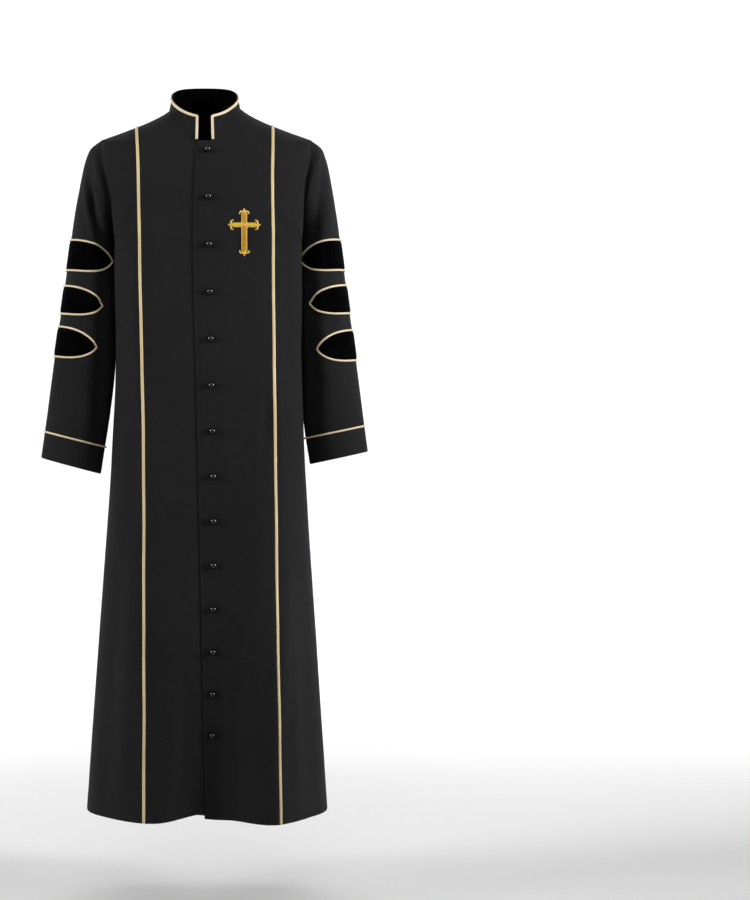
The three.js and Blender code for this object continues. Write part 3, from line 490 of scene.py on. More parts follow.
def corner_out(x, z, way):
    """How far the front's soft corner stands out past the side seam, which the sleeve draws in."""
    if way == BACK:
        return 0 * x
    across = np.abs(x) / edge_x(z)
    rising = soft_step((across - CORNER["starts"]) / CORNER["rise"])
    ending = soft_step((across - CORNER["ends"]) / (1 - CORNER["ends"]))
    from_seam = 1 - across
    drawn = soft_step(from_seam / CORNER["seam"]) * (1 - soft_step(from_seam / CORNER["drawn"]))
    out = np.where(x < 0, corner_reach["right"](z), corner_reach["left"](z)) * rising * (1 - ending)
    return np.sign(x) * (out - CORNER["drawn_in"] * drawn * section["square"](z))


def skin_point(x, z, way):
    rise = HEM_RISE[way]
    across = np.clip(np.abs(x - rise["x"]) / rise["half"], 0, 1)
    down = np.clip((rise["top"] - z) / (rise["top"] - HEM_Z), 0, None)
    up = rise["height"] * (1 - across) ** 1.5 * down
    out = skirt_lean(z) + corner_out(x, z, way)
    return stack(x + out, skin_y(x, z, way), z + up - shoulder_sag(x, z))


def button_z(index):
    return BUTTON_FIRST_Z - BUTTON_PITCH * index + BUTTON_CLOSING * index * index


def button_x(z):
    return button_line(z) - skirt_lean(z)


def body_creases(x, z, way):
    """How far the cloth stands out: its creases, the buttons' dimples and the hem's turning."""
    dimples = 0
    if way == FRONT:
        for index in range(BUTTON_COUNT):
            at_z = button_z(index)
            aside = (x - button_x(at_z)) / BUTTON_DIMPLE["across"]
            dimples = dimples + bump(np.hypot(aside, (z - at_z) / BUTTON_DIMPLE["down"]))
    turning = soft_step((HEM_Z + HEM_TURNING["height"] - z) / HEM_TURNING["step"])
    out = creased(CREASES[way], x, z) - BUTTON_DIMPLE["depth"] * dimples
    return out + HEM_TURNING["out"] * turning


def front_place(x, z, lift=0):
    """Points on the creased front away from its edges, moved out, and the way it faces there."""
    x, z = matched(x, z)

    def at(px, pz):
        base = skin_point(px, pz, FRONT)
        base[..., 1] += FRONT * body_creases(px, pz, FRONT)
        return base

    normal = unit(np.cross(at(x + 2, z) - at(x - 2, z), at(x, z + 2) - at(x, z - 2)))
    return at(x, z) + normal * lift, normal


# ---- Meshes ----
def grid_normals(points):
    return unit(np.cross(np.gradient(points, axis=1), np.gradient(points, axis=0)))


def grid_faces(rows, columns, wrap=False, closed=False):
    """The faces of a grid of points, which may run round across it and down it."""
    index = np.arange(rows * columns).reshape(rows, columns)
    if wrap:
        index = np.hstack([index, index[:, :1]])
    if closed:
        index = np.vstack([index, index[:1]])
    return np.stack([index[:-1, :-1], index[1:, :-1], index[1:, 1:], index[:-1, 1:]], -1).reshape(-1, 4)


def capped_faces(rows, columns):
    """The faces of a closed tube: one row of points after another, and a cap at each end."""
    last = (rows - 1) * columns
    caps = [list(range(columns)), list(range(last, last + columns))[::-1]]
    return grid_faces(rows, columns, wrap=True).tolist() + caps


def wall(a, b):
    """The faces between two loops of points."""
    return np.stack([a, np.roll(a, -1), np.roll(b, -1), b], -1)


def grid_edge(rows, columns):
    """The numbers of the points round a grid's edge, and of those just inside them."""
    index = np.arange(rows * columns).reshape(rows, columns)
    edge = np.r_[index[0, :-1], index[:-1, -1], index[-1, :0:-1], index[:0:-1, 0]]
    inside = index[np.clip(edge // columns, 1, rows - 2), np.clip(edge % columns, 1, columns - 2)]
    return edge, inside


def metric_uv(points):
    """Distances across and down a grid, in millimetres."""
    step_across = np.linalg.norm(np.diff(points, axis=1), axis=-1)
    step_down = np.linalg.norm(np.diff(points, axis=0), axis=-1)
    u = np.pad(np.cumsum(step_across, axis=1), ((0, 0), (1, 0)))
    v = np.pad(np.cumsum(step_down, axis=0), ((1, 0), (0, 0)))
    u = u - u[:, u.shape[1] // 2, None]
    return np.stack([u, -v], -1)


def make_object(name, points, faces, materials, uv=None, kinds=None):
    """A smooth mesh, whose faces all look outwards. kinds gives each face's material."""
    mesh = bpy.data.meshes.new(name)
    mesh.from_pydata((points.reshape(-1, 3) * MM).tolist(), [], [list(map(int, face)) for face in faces])
    for material in materials:
        mesh.materials.append(material)
    if kinds is not None:
        mesh.polygons.foreach_set("material_index", np.asarray(kinds, np.int32))
    form = bmesh.new()
    form.from_mesh(mesh)
    bmesh.ops.recalc_face_normals(form, faces=form.faces)
    form.to_mesh(mesh)
    form.free()
    if uv is not None:
        layer = mesh.uv_layers.new(name="cloth")
        point_of = np.zeros(len(mesh.loops), np.int32)
        mesh.loops.foreach_get("vertex_index", point_of)
        layer.data.foreach_set("uv", uv.reshape(-1, 2).astype(np.float32)[point_of].ravel())
    mesh.polygons.foreach_set("use_smooth", np.ones(len(mesh.polygons), bool))
    mesh.validate()
    mesh.update()
    thing = bpy.data.objects.new(name, mesh)
    bpy.context.scene.collection.objects.link(thing)
    return thing


def shell(name, outer, normals, thickness, materials=None, wrap=False, round_by=EDGE_ROUND):
    """A thin closed cloth: a grid, the same grid moved in, and a rounded rim between them.

    The first material is the outside's and the second the inside's. Without any, it is suiting outside and
    a much darker copy of it inside, which is painted shade."""
    rows, columns = outer.shape[:2]
    count = rows * columns
    if wrap:
        index = np.arange(count).reshape(rows, columns)
        loops = [(index[0], index[1]), (index[-1, ::-1], index[-2, ::-1])]
    else:
        loops = [grid_edge(rows, columns)]
    uv = metric_uv(outer).reshape(-1, 2)
    outer, inner = outer.reshape(-1, 3), (outer - normals * thickness).reshape(-1, 3)
    outside = grid_faces(rows, columns, wrap)
    points, uvs, faces = [outer, inner], [uv, uv], [outside, (outside + count)[:, ::-1]]
    start = 2 * count
    for edge, inside in loops:
        away = unit(outer[edge] - outer[inside])
        points.append((outer[edge] + inner[edge]) / 2 + away * thickness * round_by)
        uvs.append(uv[edge])
        rim = start + np.arange(len(edge))
        faces += [wall(edge, rim), wall(rim, edge + count)]
        start += len(edge)
    faces = np.concatenate(faces)
    kinds = np.zeros(len(faces), int)
    kinds[len(outside) : 2 * len(outside)] = 1
    materials = materials or CLOTH_AND_PAINTED_SHADE
    return make_object(name, np.concatenate(points), faces, materials, np.concatenate(uvs), kinds)


def side_of(points, normals):
    """The way across a line on the cloth."""
    return unit(np.cross(unit(np.gradient(points, axis=0)), normals))


def braid(name, points, normals, material, size):
    """A flat piping with rounded edges that lies on the cloth along points."""
    across, up = BRAID_SECTION["side"] * size["width"] / 2, BRAID_SECTION["up"] * size["height"]
    side = side_of(points, normals)
    ring = points[:, None] + side[:, None] * across[None, :, None] + normals[:, None] * up[None, :, None]
    faces = capped_faces(len(points), len(across))
    return make_object(name, ring, faces, [material], stack(lengths(points)[:, None], across[None]))


def cord_loop(name, points, up, material, sides):
    """A round cord that runs along points and back to the first."""
    along = unit(np.roll(points, -1, axis=0) - np.roll(points, 1, axis=0))
    side = unit(np.cross(along, up))
    up = np.cross(side, along)
    angle = full_turn(sides)
    around = np.cos(angle)[None, :, None] * side[:, None] + np.sin(angle)[None, :, None] * up[:, None]
    uv = stack(lengths(points)[:, None], CORD_RADIUS * angle[None])
    faces = grid_faces(len(points), sides, wrap=True, closed=True)
    return make_object(name, points[:, None] + CORD_RADIUS * around, faces, [material], uv)


def joined(name, parts, materials):
    """One object from (points, faces, material number) parts."""
    points, faces, kinds, start = [], [], [], 0
    for part_points, part_faces, kind in parts:
        points.append(part_points)
        faces += [[start + i for i in face] for face in part_faces]
        kinds += [kind] * len(part_faces)
        start += len(part_points)
    return make_object(name, np.concatenate(points), faces, materials, kinds=kinds)


# ---- Materials ----
SATIN_THREAD = 0.9


def colour(r, g, b):
    return (r, g, b, 1)


def new_material(name, **inputs):
    material = bpy.data.materials.new(name)
    material.use_nodes = True
    shader = material.node_tree.nodes["Principled BSDF"]
    for key, value in inputs.items():
        shader.inputs[key.replace("_", " ")].default_value = value
    return material, material.node_tree, shader


def add_node(tree, kind, inputs=None, **settings):
    node = tree.nodes.new(kind)
    for key, value in settings.items():
        setattr(node, key, value)
    for key, value in (inputs or {}).items():
        if isinstance(value, bpy.types.NodeSocket):
            tree.links.new(value, node.inputs[key])
        else:
            node.inputs[key].default_value = value
    return node


def paint(tree, shader, share, first, second):
    """Gives the shader a colour between two, by a share."""
    inputs = {"Factor": share, 6: colour(*first), 7: colour(*second)}
    mix = add_node(tree, "ShaderNodeMix", inputs, data_type="RGBA")
    tree.links.new(mix.outputs[2], shader.inputs["Base Color"])


def noise(tree, scale, detail=2.0, rough=0.5, vector=None):
    """Noise in the robe's own space, or along another vector."""
    if vector is None:
        vector = add_node(tree, "ShaderNodeTexCoord").outputs["Object"]
    inputs = {"Vector": vector, "Scale": scale, "Detail": detail, "Roughness": rough}
    return add_node(tree, "ShaderNodeTexNoise", inputs).outputs["Fac"]


def slanting(tree, scale, distortion, detail_scale=1.0):
    """The slanting lines of a twill or of satin threads, along the cloth."""
    cloth = add_node(tree, "ShaderNodeUVMap", uv_map="cloth").outputs["UV"]
    inputs = {"Vector": cloth, "Scale": scale, "Distortion": distortion, "Detail": 1.0}
    inputs["Detail Scale"] = detail_scale
    settings = dict(wave_type="BANDS", bands_direction="DIAGONAL")
    return add_node(tree, "ShaderNodeTexWave", inputs, **settings).outputs["Fac"]


def ranged(tree, value, low, high, to_low=0.0, to_high=1.0):
    inputs = {"Value": value, "From Min": low, "From Max": high, "To Min": to_low, "To Max": to_high}
    return add_node(tree, "ShaderNodeMapRange", inputs).outputs["Result"]


def added(tree, first, second, clamped=False):
    return add_node(tree, "ShaderNodeMath", {0: first, 1: second}, use_clamp=clamped).outputs[0]


def bumped(tree, shader, layers):
    """Bump layers of (height, metres), one on another."""
    last = None
    for height, distance in layers:
        inputs = {"Height": height, "Distance": distance, "Strength": 1.0}
        if last is not None:
            inputs["Normal"] = last
        last = add_node(tree, "ShaderNodeBump", inputs).outputs["Normal"]
    tree.links.new(last, shader.inputs["Normal"])


def cloth_material(name, dark, light, roughness, sheen, specular):
    """Worsted suiting: a fine twill with slubs, a soft nap and slight shading."""
    material, tree, shader = new_material(
        name,
        Roughness=roughness,
        Sheen_Weight=sheen,
        Sheen_Roughness=0.5,
        Sheen_Tint=colour(0.6, 0.6, 0.66),
        Specular_IOR_Level=specular,
    )
    twill = slanting(tree, 0.62, 0.35, 0.4)
    cloth = add_node(tree, "ShaderNodeUVMap", uv_map="cloth").outputs["UV"]
    stretched = add_node(tree, "ShaderNodeMapping", {"Vector": cloth, "Scale": (2.6, 0.35, 1)})
    yarn = noise(tree, 1.2, 3, vector=stretched.outputs["Vector"])
    shade = noise(tree, 4.5, 3)
    nap = noise(tree, 60, 4, 0.65)
    tone = added(tree, ranged(tree, shade, 0.3, 0.7, 0, 0.6), ranged(tree, nap, 0.3, 0.7, 0, 0.4))
    share = added(tree, tone, ranged(tree, twill, 0, 1, -0.12, 0.12), clamped=True)
    paint(tree, shader, share, dark, light)
    bumped(tree, shader, [(twill, 0.00008), (yarn, 0.00006), (nap, 0.0003)])
    return material


def velvet_material():
    """Crushed velvet: a deep pile with patches that lie another way."""
    material, tree, shader = new_material(
        "velvet_black",
        Roughness=1.0,
        Sheen_Weight=0.04,
        Sheen_Roughness=0.3,
        Sheen_Tint=colour(0.35, 0.38, 0.5),
        Specular_IOR_Level=0.02,
    )
    crushed = noise(tree, 38, 4, 0.6)
    share = ranged(tree, crushed, 0.35, 0.7)
    paint(tree, shader, share, (0.0004, 0.0004, 0.0005), (0.0016, 0.0017, 0.0019))
    bumped(tree, shader, [(crushed, 0.0012), (noise(tree, 1900, 2), 0.0003)])
    return material


def satin_material(name, deep, bright):
    """Satin bias binding over a cord: fine slanting threads and a soft shine."""
    material, tree, shader = new_material(
        name,
        Roughness=0.42,
        Sheen_Weight=0.3,
        Sheen_Roughness=0.35,
        Sheen_Tint=colour(1, 0.9, 0.7),
        Specular_IOR_Level=0.55,
    )
    threads = slanting(tree, 0.5 / SATIN_THREAD, 0.3)
    worn, fine = noise(tree, 9, 3), noise(tree, 240, 3)
    share = added(tree, ranged(tree, worn, 0.3, 0.7, 0, 0.7), ranged(tree, fine, 0.3, 0.7, 0, 0.3))
    paint(tree, shader, share, deep, bright)
    bumped(tree, shader, [(threads, 0.00007), (fine, 0.00016)])
    return material


def button_material():
    """Polished black resin with faint marks."""
    material, tree, shader = new_material("button_black", Roughness=0.12, Specular_IOR_Level=0.6)
    marks = noise(tree, 420, 3)
    paint(tree, shader, marks, (0.0015, 0.0015, 0.0015), (0.003, 0.003, 0.0034))
    tree.links.new(ranged(tree, marks, 0.4, 0.8, 0.06, 0.16), shader.inputs["Roughness"])
    return material


def thread_material(name, deep, bright, roughness=0.4, specular=0.35):
    """Embroidery thread: fine strands, light and dark."""
    material, tree, shader = new_material(name, Roughness=roughness, Specular_IOR_Level=specular)
    strands = noise(tree, 700, 3)
    paint(tree, shader, ranged(tree, strands, 0.3, 0.7), deep, bright)
    bumped(tree, shader, [(strands, 0.0002)])
    return material


def stage_material():
    """A pale matt floor with slight unevenness."""
    material, tree, shader = new_material("stage_pale", Roughness=0.9, Specular_IOR_Level=0.1)
    paint(tree, shader, noise(tree, 1.5, 2), (0.90, 0.90, 0.90), (0.93, 0.93, 0.93))
    return material


# The suiting, and a much darker copy of it for the inside of each piece: painted shade where the hollow
# robe is dark inside.
CLOTH_AND_PAINTED_SHADE = [
    cloth_material("cloth_black", (0.0085, 0.0085, 0.0095), (0.0125, 0.0125, 0.0135), 0.8, 0.02, 0.1),
    cloth_material("cloth_inside_painted_shade", (0.0006, 0.0006, 0.0007), (0.001, 0.001, 0.0011), 0.95, 0.0, 0.02),
]
VELVET = velvet_material()
GOLD = satin_material("piping_gold", (0.50, 0.37, 0.17), (0.68, 0.54, 0.29))
PALE_GOLD = satin_material("piping_pale_gold", (0.62, 0.50, 0.30), (0.78, 0.66, 0.43))
BUTTON = button_material()
BLACK_THREAD = thread_material("thread_black", (0.005, 0.005, 0.005), (0.01, 0.01, 0.011), 0.8, 0.05)
AMBER, BRIGHT_GOLD, YELLOW, ROSE_HIGHLIGHT = range(4)
CROSS_THREADS = [
    thread_material("thread_amber", (0.32, 0.13, 0.003), (0.52, 0.25, 0.012)),
    thread_material("thread_gold", (0.52, 0.36, 0.05), (0.82, 0.64, 0.13)),
    thread_material("thread_yellow", (0.50, 0.30, 0.012), (0.76, 0.50, 0.04)),
    # The rose thread paints the highlights at the cross's crossing and at its arm ends.
    thread_material("thread_rose_highlight", (0.50, 0.19, 0.08), (0.74, 0.42, 0.28)),
]


def wear(piece, slot_name, *nodes):
    """Puts a piece on the robe in place of CAD nodes."""
    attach(piece, "root")
    if nodes:
        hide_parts(*nodes)


def declare(points, wrap=False):
    """Works out a grid of cloth's greatest width and length and its area, and does nothing more with them.
    """
    if wrap:
        points = np.concatenate([points, points[:, :1]], axis=1)
    width = np.linalg.norm(np.diff(points, axis=1), axis=-1).sum(axis=1).max() * MM
    length = np.linalg.norm(np.diff(points, axis=0), axis=-1).sum(axis=0).max() * MM
    diagonals = np.cross(points[1:, 1:] - points[:-1, :-1], points[:-1, 1:] - points[1:, :-1])
    area = np.linalg.norm(diagonals, axis=-1).sum() / 2 * MM * MM
    flat, area = (float(width), float(length)), float(min(area, width * length))


def hang(name, node, points, normal, base, wrap=False, round_by=EDGE_ROUND):
    """Makes a hung piece of suiting in place of a CAD node. base is its surface with no creases."""
    piece = shell(name, points, normal, CLOTH, wrap=wrap, round_by=round_by)
    wear(piece, "cloth", node)
    declare(base, wrap)


# ---- The neckline and collar ----
def neck_point(angle):
    """The neck seam, where the body's surface meets the neck's outline seen from above."""
    front = np.cos(angle)
    x = NECK_X + NECK_HALF * np.sin(angle)
    y = lerp(RIDGE_NECK_Y, np.where(front > 0, NECK_FRONT_Y, NECK_BACK_Y), np.abs(front))
    way = np.where(y < RIDGE_NECK_Y, FRONT, BACK)

    def outward(z):
        return np.where(way == FRONT, skin_y(x, z, FRONT), -skin_y(x, z, BACK))

    top = ridge_z(x)
    return stack(x, y, solve(outward, -way * y, top - 120, top))


def collar_top(angle):
    front = np.cos(angle)
    reach = np.where(front > 0, COLLAR_TOP["front_y"], COLLAR_TOP["back_y"])
    z = COLLAR_TOP["side"] - COLLAR_TOP["tilt"] * front - COLLAR_TOP["hollow"] * front**2
    y = lerp(COLLAR_TOP["side_y"], reach, np.abs(front))
    return stack(NECK_X + COLLAR_TOP["half"] * np.sin(angle), y, z)


def collar_rise(angle):
    """The collar's foot and top edge at an angle, and the height from one to the other."""
    foot, top = neck_point(angle) + np.array([0, 0, COLLAR_LIFT]), collar_top(angle)
    edge = unit(collar_top(angle + 0.02) - collar_top(angle - 0.02))
    return foot, top, np.linalg.norm(np.cross(edge, foot - top), axis=-1)


def collar_point(angle, below):
    """A point of the collar's outside, at a distance below its top edge."""
    foot, top, height = collar_rise(angle)
    return lerp(top, foot, (below / height)[..., None])


def collar_normal(angle, below):
    around = collar_point(angle + 0.03, below) - collar_point(angle - 0.03, below)
    down = collar_point(angle, below + 4) - collar_point(angle, np.maximum(below - 4, 0))
    return -unit(np.cross(around, down))


def collar_ease(angle, from_foot):
    return neck_ease(NECK_HALF * (1 - np.abs(np.sin(angle))), from_foot)


def build_collar():
    angle = np.linspace(COLLAR_END_ANGLE, 2 * np.pi - COLLAR_END_ANGLE, 150)
    share = np.r_[0, 0.015, 0.04, np.linspace(0.08, 0.92, 14), 0.96, 0.985, 1][:, None]
    height = collar_rise(angle)[2][None]
    below = share * height
    grid = np.broadcast_to(angle, below.shape)
    base, normal = collar_point(grid, below), collar_normal(grid, below)
    run = metric_uv(base)[..., 0]
    wave = COLLAR_WAVE["out"] * np.sin(run / COLLAR_WAVE["length"]) * bump(2 * share - 1)
    away = wave + puckered(run, height - below, 0.08, 9) + collar_ease(grid, height - below)
    piece = shell("collar_band", base + normal * away[..., None], normal, COLLAR_CLOTH, round_by=0.45)
    wear(piece, "cloth", "collar")
    declare(base)


def build_collar_piping():
    """The piping runs up one end of the collar, round its top edge and down the other end."""
    half = COLLAR_PIPING["width"] / 2
    bend = half + SEAM_GAP

    def angle_at(from_end):
        return math.asin((COLLAR_END_X + from_end) / NECK_HALF)

    foot = float(collar_rise(np.array(angle_at(half)))[2]) - COLLAR_PIPING["foot"]
    first = [(angle_at(half), below) for below in np.linspace(foot, half + bend + 0.5, 22)]
    for turn in np.radians(np.linspace(0, 90, 8)):
        first.append((angle_at(half + bend - bend * math.cos(turn)), half + bend - bend * math.sin(turn)))
    top = [(a, half) for a in np.linspace(first[-1][0], 2 * np.pi - first[-1][0], 170)[1:-1]]
    last = [(2 * np.pi - a, below) for a, below in first[::-1]]
    angle, below = np.array(first + top + last).T
    normal = collar_normal(angle, below)
    lift = SEAT_GAP + collar_ease(angle, collar_rise(angle)[2] - below)
    points = collar_point(angle, below) + normal * lift[:, None]
    wear(braid("collar_binding", points, normal, PALE_GOLD, COLLAR_PIPING), "pale_piping", "collar_piping")


# ---- The body's panels ----
# Places of columns are numbered as the CAD source's are, so that both share their lines.
CENTRE_SHARES = np.array([0, 0.13, 0.26, 0.39, 0.52, 0.64, 0.76, 0.88, 1])
CENTRE_ON_SHOULDER, CENTRE_NECK_ANGLES = 2, np.linspace(np.pi / 2, COLLAR_END_ANGLE, 7)
BACK_SHARES = np.array([0, 0.05, 0.13, 0.24, 0.36, 0.48, 0.59, 0.69, 0.77, 0.84, 0.905, 0.96, 1])
BACK_ON_SHOULDER, BACK_NECK_ANGLES = 7, np.linspace(np.pi / 2, np.pi, 6)
NEAR_SEAM = np.array([0.06, 0.14, 0.26])
PANEL_TOP_Z = -30
UPPER_ROWS = 64
LOWER_Z = np.r_[np.arange(CHEST_Z, HEM_Z + 6, -5.0), HEM_Z + 3, HEM_Z + 1, HEM_Z]


def panel_grid(from_x, to_x, shares, tops):
    """x and z of a panel's points: each column has a share of the way across and a top (x, z)."""
    def straight(z):
        return lerp(from_x(z), to_x(z), shares)

    top_x, top_z = tops
    down = np.linspace(0, 1, UPPER_ROWS)[:-1, None] ** 2
    upper_z = lerp(top_z[None], CHEST_Z, down)
    upper_x = straight(upper_z) + (top_x - straight(top_z))[None] * (1 - down) ** 2
    lower_z = np.broadcast_to(LOWER_Z[:, None], (len(LOWER_Z), len(shares)))
    return np.vstack([upper_x, straight(lower_z)]), np.vstack([upper_z, lower_z])


def side_edge(sign):
    return lambda z: sign * edge_x(np.minimum(z, SHOULDER_Z))


def fold_line(z):
    return FOLDS[BACK]["x"][0] + 0 * z


def round_shares(count, inner):
    """Shares of the way in from a side seam that keep the points even round its curve."""
    angle = np.linspace(0, math.acos(inner ** (SECTION_POWER / 2)), count)
    return (1 - np.cos(angle) ** (2 / SECTION_POWER)) / (1 - inner)


def neck_tops(angles):
    """Where columns reach the neck seam. Between the collar's ends the lap is cut straight."""
    point = neck_point(angles)
    first, last = neck_point(np.array([-1, 1]) * COLLAR_END_ANGLE)
    straight = lerp(first, last, ((point[:, 0] - first[0]) / (last[0] - first[0]))[:, None])
    point = np.where(np.abs(angles)[:, None] < COLLAR_END_ANGLE, straight, point)
    return point[:, 0], point[:, 2]


def panel_tops(places, on_shoulder, shoulder_x, sign, angles):
    """The tops of columns, some on the shoulder seam and then the rest on the neck seam."""
    along = places[places <= on_shoulder]
    x = np.interp(along, [0, on_shoulder], [shoulder_x, NECK_X + sign * NECK_HALF])
    round_neck = places[places > on_shoulder] - on_shoulder
    neck_x, neck_z = neck_tops(sign * np.interp(round_neck, np.arange(len(angles)), angles))
    return np.r_[x, neck_x], np.r_[ridge_z(x), neck_z]


def side_panel(sign):
    seam = line[SIDE_NAMES[sign]]
    shares = np.unique(np.r_[round_shares(34, 0.70), 0.992, 0.98, 0.96, 0.93])
    top_x = sign * lerp(SHOULDER_X, abs(float(seam(PANEL_TOP_Z))), shares)
    return panel_grid(side_edge(sign), seam, shares, (top_x, ridge_z(top_x)))


def centre_panel(sign):
    """A centre front: from its piped seam to the middle of the front, and on over or under the other."""
    seam, edge, end = line[SIDE_NAMES[sign]], line["under"], line["lap"]
    if sign == RIGHT:
        edge, end = end, edge
    last = len(CENTRE_SHARES) - 1
    places = np.unique(np.r_[np.linspace(0, last, 3 * last + 1), NEAR_SEAM, last - NEAR_SEAM])
    shares = np.interp(places, np.arange(last + 1), CENTRE_SHARES)
    seam_x = float(seam(PANEL_TOP_Z))
    tops = panel_tops(places, CENTRE_ON_SHOULDER, seam_x, sign, CENTRE_NECK_ANGLES)
    lap_shares = np.unique(np.r_[np.linspace(0, 1, 13)[1:], 0.98, 0.95])
    lap_tops = neck_tops(sign * COLLAR_END_ANGLE * (1 - 2 * lap_shares))
    panel, lap = panel_grid(seam, edge, shares, tops), panel_grid(edge, end, lap_shares, lap_tops)
    return np.hstack([panel[0], lap[0]]), np.hstack([panel[1], lap[1]])


def back_half(sign):
    shares = np.unique(np.r_[round_shares(54, 0.03), 0.69, 0.93, 0.95, 0.965, 0.98, 0.99, 1])
    places = np.interp(shares, BACK_SHARES, np.arange(len(BACK_SHARES)))
    tops = panel_tops(places, BACK_ON_SHOULDER, sign * SHOULDER_X, sign, BACK_NECK_ANGLES)
    return panel_grid(side_edge(sign), fold_line, shares, tops)


def seamed(away, run, distance, depth, pucker_reach=14):
    """Cloth that dips to a seam at a distance, and puckers beside it."""
    return away - depth * bump(distance / SEAM_WIDTH) + puckered(run, distance, depth / 3, pucker_reach)


def panel_normals(base, x, z, way, at_sides):
    """The way a panel faces. Its shoulder and side edges face sideways, to stay on their seams."""
    normal = grid_normals(base)
    normal = normal * (1 if normal[..., 1].mean() * way > 0 else -1)
    sideways = np.zeros(x.shape, bool)
    on_ridge = np.abs(x[0] - NECK_X) >= NECK_HALF - 0.01
    sideways[0] = on_ridge
    for column, at_side in zip((0, -1), at_sides):
        if at_side:
            sideways[:, column] |= z[:, column] <= CHEST_Z + 1
    normal[sideways, 1] = 0
    normal[sideways] = unit(normal[sideways])
    return normal, on_ridge


def skin_sheet(x, z, way, at_sides, seams):
    """The points of a panel and the way it faces, with its creases, drawn in at its seams."""
    base = skin_point(x, z, way)
    normal, on_ridge = panel_normals(base, x, z, way, at_sides)
    run, fall = np.moveaxis(metric_uv(base), -1, 0)
    from_seams = (run - run[:, :1], run[:, -1:] - run)
    from_top, from_hem = -fall, fall - fall[-1:]
    away = body_creases(x, z, way)
    for distance, depth in zip(from_seams, seams):
        if depth:
            away = away * soft_step(CREASE_AT_SEAM["share"] + distance / CREASE_AT_SEAM["reach"])
            away = seamed(away, z, distance, depth)
    away = away * soft_step(from_top / CREASE_AT_TOP_REACH) - FINE_SEAM_DEPTH * bump(from_top / SEAM_WIDTH)
    away = away + puckered(x, from_top, 0.12, 10)
    from_edge = np.minimum((edge_x(z) - np.abs(x)) / BESIDE_SLEEVE["reach"], 1)
    most = BESIDE_SLEEVE["least"] + BESIDE_SLEEVE["out"] * from_edge
    away = np.where(z > BESIDE_SLEEVE["down_to"], np.minimum(away, most), away)
    away = away - HEM_EDGE["drawn_in"] * bump(from_hem / HEM_EDGE["reach"])
    for distance, at_side in zip(from_seams, at_sides):
        if at_side:
            away = away + armhole_ease(z, distance)
    away = away + neck_ease(NECK_HALF - np.abs(x[:1] - NECK_X), from_top)
    points = base + normal * away[..., None]
    for column, beside in ((0, 1), (-1, -2)):
        points[:, column] += unit(points[:, beside] - points[:, column]) * SEAM_GAP / 2
    points[0, on_ridge, 1] += way * SEAM_GAP / 2
    return points, normal, base


def lap_tuck(x, z):
    """How far the right front lies below the left one that laps it."""
    past_lap = x - line["lap"](np.minimum(z, PANEL_TOP_Z))
    return (CLOTH + LAP_TUCK["gap"]) * soft_step((past_lap + LAP_TUCK["starts"]) / LAP_TUCK["run"])


def build_side_front(sign):
    name = SIDE_NAMES[sign]
    x, z = side_panel(sign)
    points, normal, base = skin_sheet(x, z, FRONT, (True, False), (FINE_SEAM_DEPTH, SEAM_DEPTH))
    hang(f"front_side_{name}_panel", f"front_side_{name}", points, normal, base)
    build_front_piping(name, base[:, -1], normal[:, -1])


def build_centre_front(sign):
    name = SIDE_NAMES[sign]
    x, z = centre_panel(sign)
    points, normal, base = skin_sheet(x, z, FRONT, (False, False), (SEAM_DEPTH, 0))
    run = metric_uv(base)[..., 0]
    from_edge = run[:, -1:] - run
    if sign == RIGHT:
        points = points - normal * lap_tuck(x, z)[..., None]
    else:
        fallen = soft_step((LAP_CORNER["top"] - z) / LAP_CORNER["fall"])
        points[..., 2] -= LAP_CORNER["drop"] * bump(from_edge / LAP_CORNER["reach"]) * fallen
        stitched = bump((from_edge - LAP_STITCHES["inset"]) / LAP_STITCHES["width"])
        points = points - normal * (LAP_STITCHES["sunk"] * stitched)[..., None]
    hang(f"front_{name}_panel", f"front_center_{name}", points, normal, base, round_by=0.5)
    if sign == LEFT:
        build_lap_stitches(points, normal, from_edge)


def build_back():
    """One width, from the right side seam in to the centre fold and on out to the left one."""
    right_x, right_z = back_half(RIGHT)
    left_x, left_z = back_half(LEFT)
    x = np.hstack([right_x, left_x[:, -2::-1]])
    z = np.hstack([right_z, left_z[:, -2::-1]])
    points, normal, base = skin_sheet(x, z, BACK, (True, True), (FINE_SEAM_DEPTH, FINE_SEAM_DEPTH))
    hang("back_panel", "back", points, normal, base)


def build_front_piping(name, points, normals):
    """A flat satin piping over the seam, from the shoulder to the hem. It strays a little from its line."""
    run = lengths(points)
    sway = 0.35 * np.sin(run / 71) + 0.25 * np.sin(run / 29 + 1)
    middle = points + side_of(points, normals) * sway[:, None]
    piece = braid(f"front_{name}_binding", middle, normals, GOLD, FRONT_PIPING)
    wear(piece, "gold_piping", f"front_piping_{name}")


def stitch_parts(starts, ends, normals, radius):
    """Short thread stitches that arch between pairs of points on the cloth."""
    rings, girth = STITCH["place"], STITCH["girth"]
    angle = full_turn(5)[None, :, None]
    arch = radius * (0.7 - 1.1 * (2 * rings) ** 4)
    faces = grid_faces(len(rings), angle.size, wrap=True)
    parts = []
    for start, end, normal in zip(starts, ends, normals):
        middle, run = (start + end) / 2, end - start
        side = unit(np.cross(run, normal))
        centre = middle + rings[:, None] * run + arch[:, None] * normal
        around = np.cos(angle) * side + np.sin(angle) * normal
        ring = centre[:, None] + radius * girth[:, None, None] * around
        parts.append((ring.reshape(-1, 3), faces, 0))
    return parts


